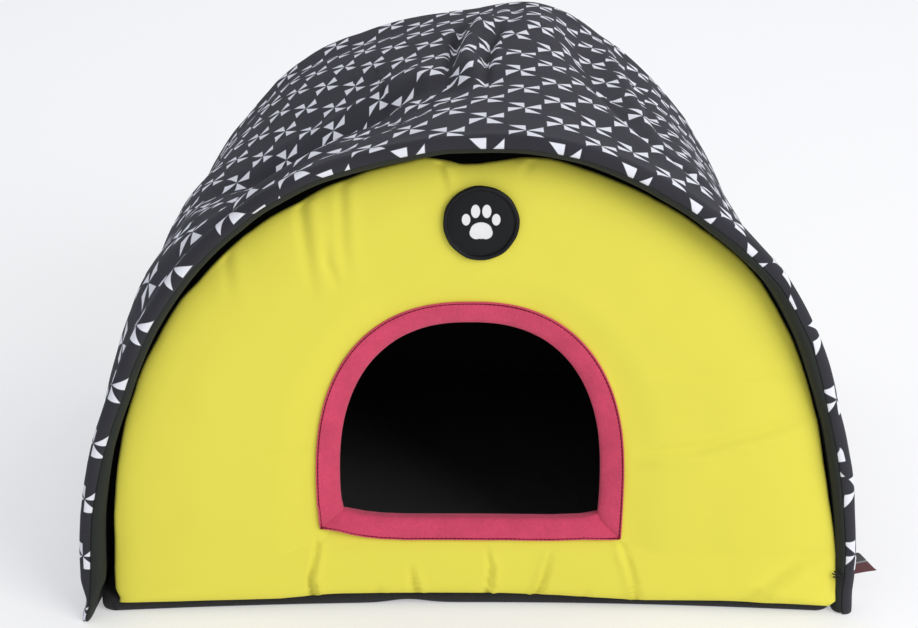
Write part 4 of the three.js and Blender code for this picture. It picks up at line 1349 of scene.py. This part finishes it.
def make_floor_pad_piece(settings):
    """Flat floor pad: rounded rim, slightly bowed front, and a fold that lifts its lower front edge."""
    half = HALF_WIDTH - (PADDING + SEAM_GAP + LINING_THICKNESS + FLOOR_PAD_GAP)
    front, back = FLOOR_PAD_ENDS
    corner = settings.corner / MM
    quarter = np.linspace(0, math.pi / 2, 9)
    turn = corner * np.sin(quarter)
    sweep = np.linspace(-1, 1, 181)
    front_x = sweep * (half - corner)
    front_y = front + FLOOR_PAD_BOW * (1 - sweep ** 2)
    sides = np.linspace(0, 1, 60)[1:-1]
    level = np.ones_like(sides)
    x = np.concatenate([
        front_x[:-1], half - corner + turn, half * level, half - corner + corner * np.cos(quarter),
        mix(half - corner, corner - half, sides), -half + corner - turn, -half * level,
        -half + corner - corner * np.cos(quarter)])
    y = np.concatenate([
        front_y[:-1], front + corner - corner * np.cos(quarter), mix(front + corner, back - corner, sides),
        back - corner + turn, back * level, back - corner + corner * np.cos(quarter),
        mix(back - corner, front + corner, sides), front + corner - turn])
    # Section of the rim from the underside up: how far in, and the height.
    section = [
        (40.0, 0.0), (14.0, 0.0), (5.0, 0.0), (2.0, 0.25), (0.7, 1.2), (0.1, 3.0), (0.0, 5.2), (0.1, 7.4),
        (0.7, 9.2), (2.0, 10.4), (4.5, 10.9), (9.0, 11.0), (22.0, 11.0), (60.0, 11.0), (130.0, 11.0)]
    inward, height = columns_of(section)
    centre_y = (front + back) / 2
    step_x, step_y = -x / half, (centre_y - y) / (centre_y - front)
    scale = np.clip(1 / np.maximum(np.hypot(step_x, step_y), 1e-6), 0, 1)
    out_x = x[:, None] + inward * (step_x * scale)[:, None]
    out_y = y[:, None] + inward * (step_y * scale)[:, None]
    near_front = bell(y[:, None] - front_y.min(), 24.0) * (np.abs(x[:, None]) < half - corner)
    lifted = near_front * 3.6 * bell(out_x + 42.0, 17.0) * np.clip(1 - height / 8.0, 0, 1)
    waves = 0.45 * unevenness(np.stack([out_x, out_y, 0 * out_x + height], -1), 26.0, 7)
    out_z = np.maximum(height + lifted + waves * (height > 2), 0)
    piece = loft_disc("floor_pad_cloth", to_row(out_x, out_y, out_z))
    put_on(piece, [pad_cloth(settings.cloth)], "pad_cloth", "base_pad")


def make_back_panel_piece(settings):
    """Plain padded panel that closes the far end."""
    rim_x, rim_z = panel_outline(BACK_PANEL_WAY, False, 60, 240)
    way = np.concatenate([np.linspace(0.06, 0.88, 34)[:-1], np.linspace(0.88, 1, 11)])[None, :]
    x = rim_x[:, None] * way
    z = mix(BACK_PANEL_HUB, rim_z[:, None], way)
    full = settings.padding / MM
    half = (full - 2) / 2 * np.maximum(1 - np.clip((way - 0.35) / 0.65, 0, 1) ** 2.6, 0) ** 0.46 + 0 * x
    flat = np.stack([x, 0 * x + 300, z], -1)
    toward_edge = smooth((way - 0.55) / 0.35) * smooth((1 - way) / 0.05)
    around = np.arctan2(z - BACK_PANEL_HUB, x)
    puckers = 0.55 * np.sin(around * 46 + 2.2 * np.sin(around * 5)) * toward_edge
    soft = (0.9 * unevenness(flat, 80.0, 8) + 0.35 * unevenness(flat, 24.0, 9)) * smooth((1 - way) / 0.05)
    outside = to_row(x, BACK_PANEL_WAY + half + soft + puckers, z)
    inside = to_row(x, BACK_PANEL_WAY - half, z)[:, :-1]
    rings = np.concatenate([outside, inside[:, ::-1]], 1)
    piece = loft_disc("back_panel_cloth", rings)
    put_on(piece, panel_finishes(), "yellow_cloth", "back_panel")
    spans = rings.shape[1] - 1
    outer_hub = spans * len(rings)
    for polygon in piece.data.polygons:
        inside_face = polygon.index > outer_hub
        on_rim = polygon.index < outer_hub and polygon.index % spans >= outside.shape[1] - 1
        if inside_face or on_rim:
            polygon.material_index = 1


def make_label_piece(settings):
    """Folded label caught in the hem's seam on the right, longest at its lower edge."""
    half_round = VAULT.outline(LABEL["y"])[2]
    s = 1 - LABEL["z"] / half_round
    root = float(VAULT.point(np.array([s]), np.array([LABEL["y"]]), 0)[0][0]) + 2 * SEAM_GAP
    rows = np.linspace(0, 1, 15)
    outs = np.linspace(0, 1, 19)
    up, out = np.meshgrid(rows, outs, indexing="ij")
    reach = mix(LABEL["bottom"], LABEL["top"], up ** 0.85)
    x = root + reach * out
    z = LABEL["z"] + LABEL["height"] * (up - 0.5) - LABEL["drop"] * out * (1 - up) ** 0.5
    half = 0.7 * np.sqrt(np.clip(1 - (np.clip(out - 0.82, 0, 1) / 0.18) ** 2, 0.02, 1))
    curl = 1.1 * np.sin(out * 2.4) * (1 - up) + 0.5 * np.sin(up * 5)
    y = LABEL["y"] + curl
    grids = [to_row(x, y + side * half, z) for side in (-1, 1)]
    flat_uv = np.stack([out * 0.02, up], -1)
    count, columns = x.shape
    points = np.concatenate([g.reshape(-1, 3) for g in grids])
    uv_points = np.concatenate([flat_uv.reshape(-1, 2)] * 2)
    base = count * columns
    faces = []
    for i in range(count - 1):
        for k in range(columns - 1):
            a = i * columns + k
            faces.append((a, a + 1, a + columns + 1, a + columns))
            faces.append((base + a, base + a + columns, base + a + columns + 1, base + a + 1))
    border = list(range(columns))
    border += [i * columns + columns - 1 for i in range(1, count)]
    border += [(count - 1) * columns + k for k in range(columns - 2, -1, -1)]
    border += [i * columns for i in range(count - 2, 0, -1)]
    for a, b in zip(border, border[1:] + border[:1]):
        faces.append((a, base + a, base + b, b))
    uv = [tuple(map(tuple, uv_points[list(face)].tolist())) for face in faces]
    piece = cloth_mesh("side_label_ribbon", points, faces, uv, keep_sharp=60)
    put_on(piece, [label_cloth(settings)], "label_cloth", "side_label")


def thread_tube(path, radius, sides=8):
    """Closed ring tube along a line of points in millimetres."""
    path = np.asarray(path, float)
    ahead = np.gradient(path, axis=0)
    ahead /= np.linalg.norm(ahead, axis=1, keepdims=True)
    side = np.cross(ahead, [0.3, 0.2, 1.0])
    side /= np.linalg.norm(side, axis=1, keepdims=True)
    third = np.cross(ahead, side)
    angle = np.linspace(0, 2 * math.pi, sides, endpoint=False)[None, :, None]
    return path[:, None] + radius * (np.cos(angle) * side[:, None] + np.sin(angle) * third[:, None])


TACK_THREAD_RADIUS = 0.55
# Threads of the tack that holds the lining to the panel near the right foot. Columns are x, y and z of
# the start, of the top of the loop and of the end.
TACK_THREADS = (
    ((263.0, -1.0, 32.0), (268.0, -4.5, 31.5), (273.5, -1.5, 30.5)),
    ((263.5, -1.0, 29.5), (268.5, -4.8, 29.6), (273.5, -1.5, 28.5)),
    ((264.0, -1.0, 34.0), (268.6, -5.0, 30.6), (273.0, -1.5, 26.6)),
    ((266.0, -3.2, 26.8), (268.0, -5.6, 24.4), (268.8, -5.2, 21.0)),
)


def make_tack_piece():
    """Hand tack near the right foot: a few dark threads over the lining's edge."""
    meshes, faces = [], []
    for start, top, end in TACK_THREADS:
        t = np.linspace(0, 1, 14)[:, None]
        start, top, end = (np.array(p) for p in (start, top, end))
        path = (1 - t) ** 2 * start + 2 * t * (1 - t) * top + t ** 2 * end
        rings = thread_tube(path, TACK_THREAD_RADIUS)
        count, columns = rings.shape[:2]
        offset = sum(len(m) for m in meshes)
        quads, _, _ = tube_faces(count, columns)
        faces += [tuple(int(v) + offset for v in q) for q in quads]
        faces.append(tuple(offset + k for k in reversed(range(columns))))
        faces.append(tuple(offset + (count - 1) * columns + k for k in range(columns)))
        meshes.append(rings.reshape(-1, 3))
    points = np.concatenate(meshes)
    piece = cloth_mesh("hem_tack_threads", to_row(points[:, 0], points[:, 1], points[:, 2]), faces)
    put_on(piece, [thread("tack_thread", (0.02, 0.02, 0.02))], "dark_lining")


# The studio floor in metres: it lies just under the hut, so that the two faces don't share a plane.
FLOOR_RADIUS = 8
FLOOR_LEVEL = -0.0004


def make_stage(settings):
    """Pale floor, soft lights and the camera in front of the doorway."""
    scene = bpy.context.scene
    camera_data = bpy.data.cameras.new("hut_camera")
    camera_data.lens = settings.lens
    camera_data.sensor_width = 36.0
    camera = bpy.data.objects.new("hut_camera", camera_data)
    camera.location = (HUT_X - 0.005, HUT_FRONT - settings.camera_distance, settings.camera_height)
    camera.rotation_euler = (settings.camera_tilt, 0, 0)
    scene.collection.objects.link(camera)
    scene.camera = camera

    count = 96
    around = [2 * math.pi * k / count for k in range(count)]
    mesh = bpy.data.meshes.new("studio_floor")
    rim = [(FLOOR_RADIUS * math.cos(a), FLOOR_RADIUS * math.sin(a), FLOOR_LEVEL) for a in around]
    mesh.from_pydata(rim, [], [tuple(range(count))])
    floor = bpy.data.objects.new("studio_floor", mesh)
    floor.data.materials.append(studio_floor(settings.floor))
    scene.collection.objects.link(floor)

    for name, place, size, power, color in (
        ("key_light", (1.9, -2.0, 1.6), 1.8, settings.key_power, (1.0, 0.985, 0.96)),
        ("fill_light", (0.6, 2.2, 2.2), 2.6, settings.fill_power, (1.0, 0.99, 0.97)),
    ):
        data = bpy.data.lights.new(name, "AREA")
        data.energy = power
        data.size = size
        data.color = color
        lamp = bpy.data.objects.new(name, data)
        lamp.location = place
        lamp.rotation_euler = (Vector((0, 0, 0.15)) - Vector(place)).to_track_quat("-Z", "Y").to_euler()
        scene.collection.objects.link(lamp)

    world = bpy.data.worlds.new("room_light")
    world.use_nodes = True
    background = world.node_tree.nodes["Background"]
    background.inputs["Color"].default_value = (0.93, 0.945, 1.0, 1.0)
    background.inputs["Strength"].default_value = settings.sky
    scene.world = world
    scene.view_settings.view_transform = "Standard"


class MakeStage(bpy.types.Operator):
    """Makes the floor, the lights and the camera"""

    bl_idname = "hut.make_stage"
    bl_label = "Stage"

    def execute(self, context):
        make_stage(context.scene.hut_stage)
        return {"FINISHED"}


class MakeCanopy(bpy.types.Operator):
    """Makes the padded canopy of printed cotton"""

    bl_idname = "hut.make_canopy"
    bl_label = "Canopy"

    def execute(self, context):
        make_canopy_piece(context.scene.hut_canopy)
        return {"FINISHED"}


class MakeLining(bpy.types.Operator):
    """Makes the dark lining under the canopy"""

    bl_idname = "hut.make_lining"
    bl_label = "Lining"

    def execute(self, context):
        settings = context.scene.hut_lining
        dark_lining(settings.cloth)
        make_lining_piece(settings)
        return {"FINISHED"}


class MakePanels(bpy.types.Operator):
    """Makes the yellow front panel and the plain back panel"""

    bl_idname = "hut.make_panels"
    bl_label = "Panels"

    def execute(self, context):
        settings = context.scene.hut_panels
        yellow_cloth(settings)
        make_front_panel_piece(settings)
        make_back_panel_piece(settings)
        return {"FINISHED"}


class MakeBinding(bpy.types.Operator):
    """Makes the felt binding of the doorway and its stitches"""

    bl_idname = "hut.make_binding"
    bl_label = "Doorway binding"

    def execute(self, context):
        settings = context.scene.hut_binding
        make_binding_pieces(settings)
        make_binding_stitches(settings)
        return {"FINISHED"}


class MakeBadge(bpy.types.Operator):
    """Makes the round leather patch above the doorway"""

    bl_idname = "hut.make_badge"
    bl_label = "Patch"

    def execute(self, context):
        make_badge_piece(context.scene.hut_badge)
        return {"FINISHED"}


class MakeFloorPad(bpy.types.Operator):
    """Makes the floor pad"""

    bl_idname = "hut.make_floor_pad"
    bl_label = "Floor pad"

    def execute(self, context):
        make_floor_pad_piece(context.scene.hut_floor_pad)
        return {"FINISHED"}


class MakeLabel(bpy.types.Operator):
    """Makes the side label and the tack beside it"""

    bl_idname = "hut.make_label"
    bl_label = "Label and tack"

    def execute(self, context):
        make_label_piece(context.scene.hut_label)
        make_tack_piece()
        return {"FINISHED"}


OPERATORS = (MakeStage, MakeCanopy, MakeLining, MakePanels, MakeBinding, MakeBadge, MakeFloorPad, MakeLabel)


class HutPanel(bpy.types.Panel):
    """Lists the pieces of the cat hut in the sidebar"""

    bl_idname = "VIEW3D_PT_cat_hut"
    bl_label = "Cat Hut"
    bl_space_type = "VIEW_3D"
    bl_region_type = "UI"
    bl_category = "Cat Hut"

    def draw(self, context):
        for operator in OPERATORS:
            self.layout.operator(operator.bl_idname)
        for name, group in SETTINGS.items():
            column = self.layout.column(heading=group.__name__)
            for key in group.__annotations__:
                column.prop(getattr(context.scene, name), key)


def register():
    for group in SETTINGS.values():
        bpy.utils.register_class(group)
    for name, group in SETTINGS.items():
        setattr(bpy.types.Scene, name, bpy.props.PointerProperty(type=group))
    for operator in (*OPERATORS, HutPanel):
        bpy.utils.register_class(operator)


def unregister():
    for operator in reversed((*OPERATORS, HutPanel)):
        bpy.utils.unregister_class(operator)
    for name, group in SETTINGS.items():
        delattr(bpy.types.Scene, name)
        bpy.utils.unregister_class(group)


def main():
    register()
    for operator in OPERATORS:
        group, name = operator.bl_idname.split(".")
        getattr(getattr(bpy.ops, group), name)()


if __name__ == "__main__":
    main()
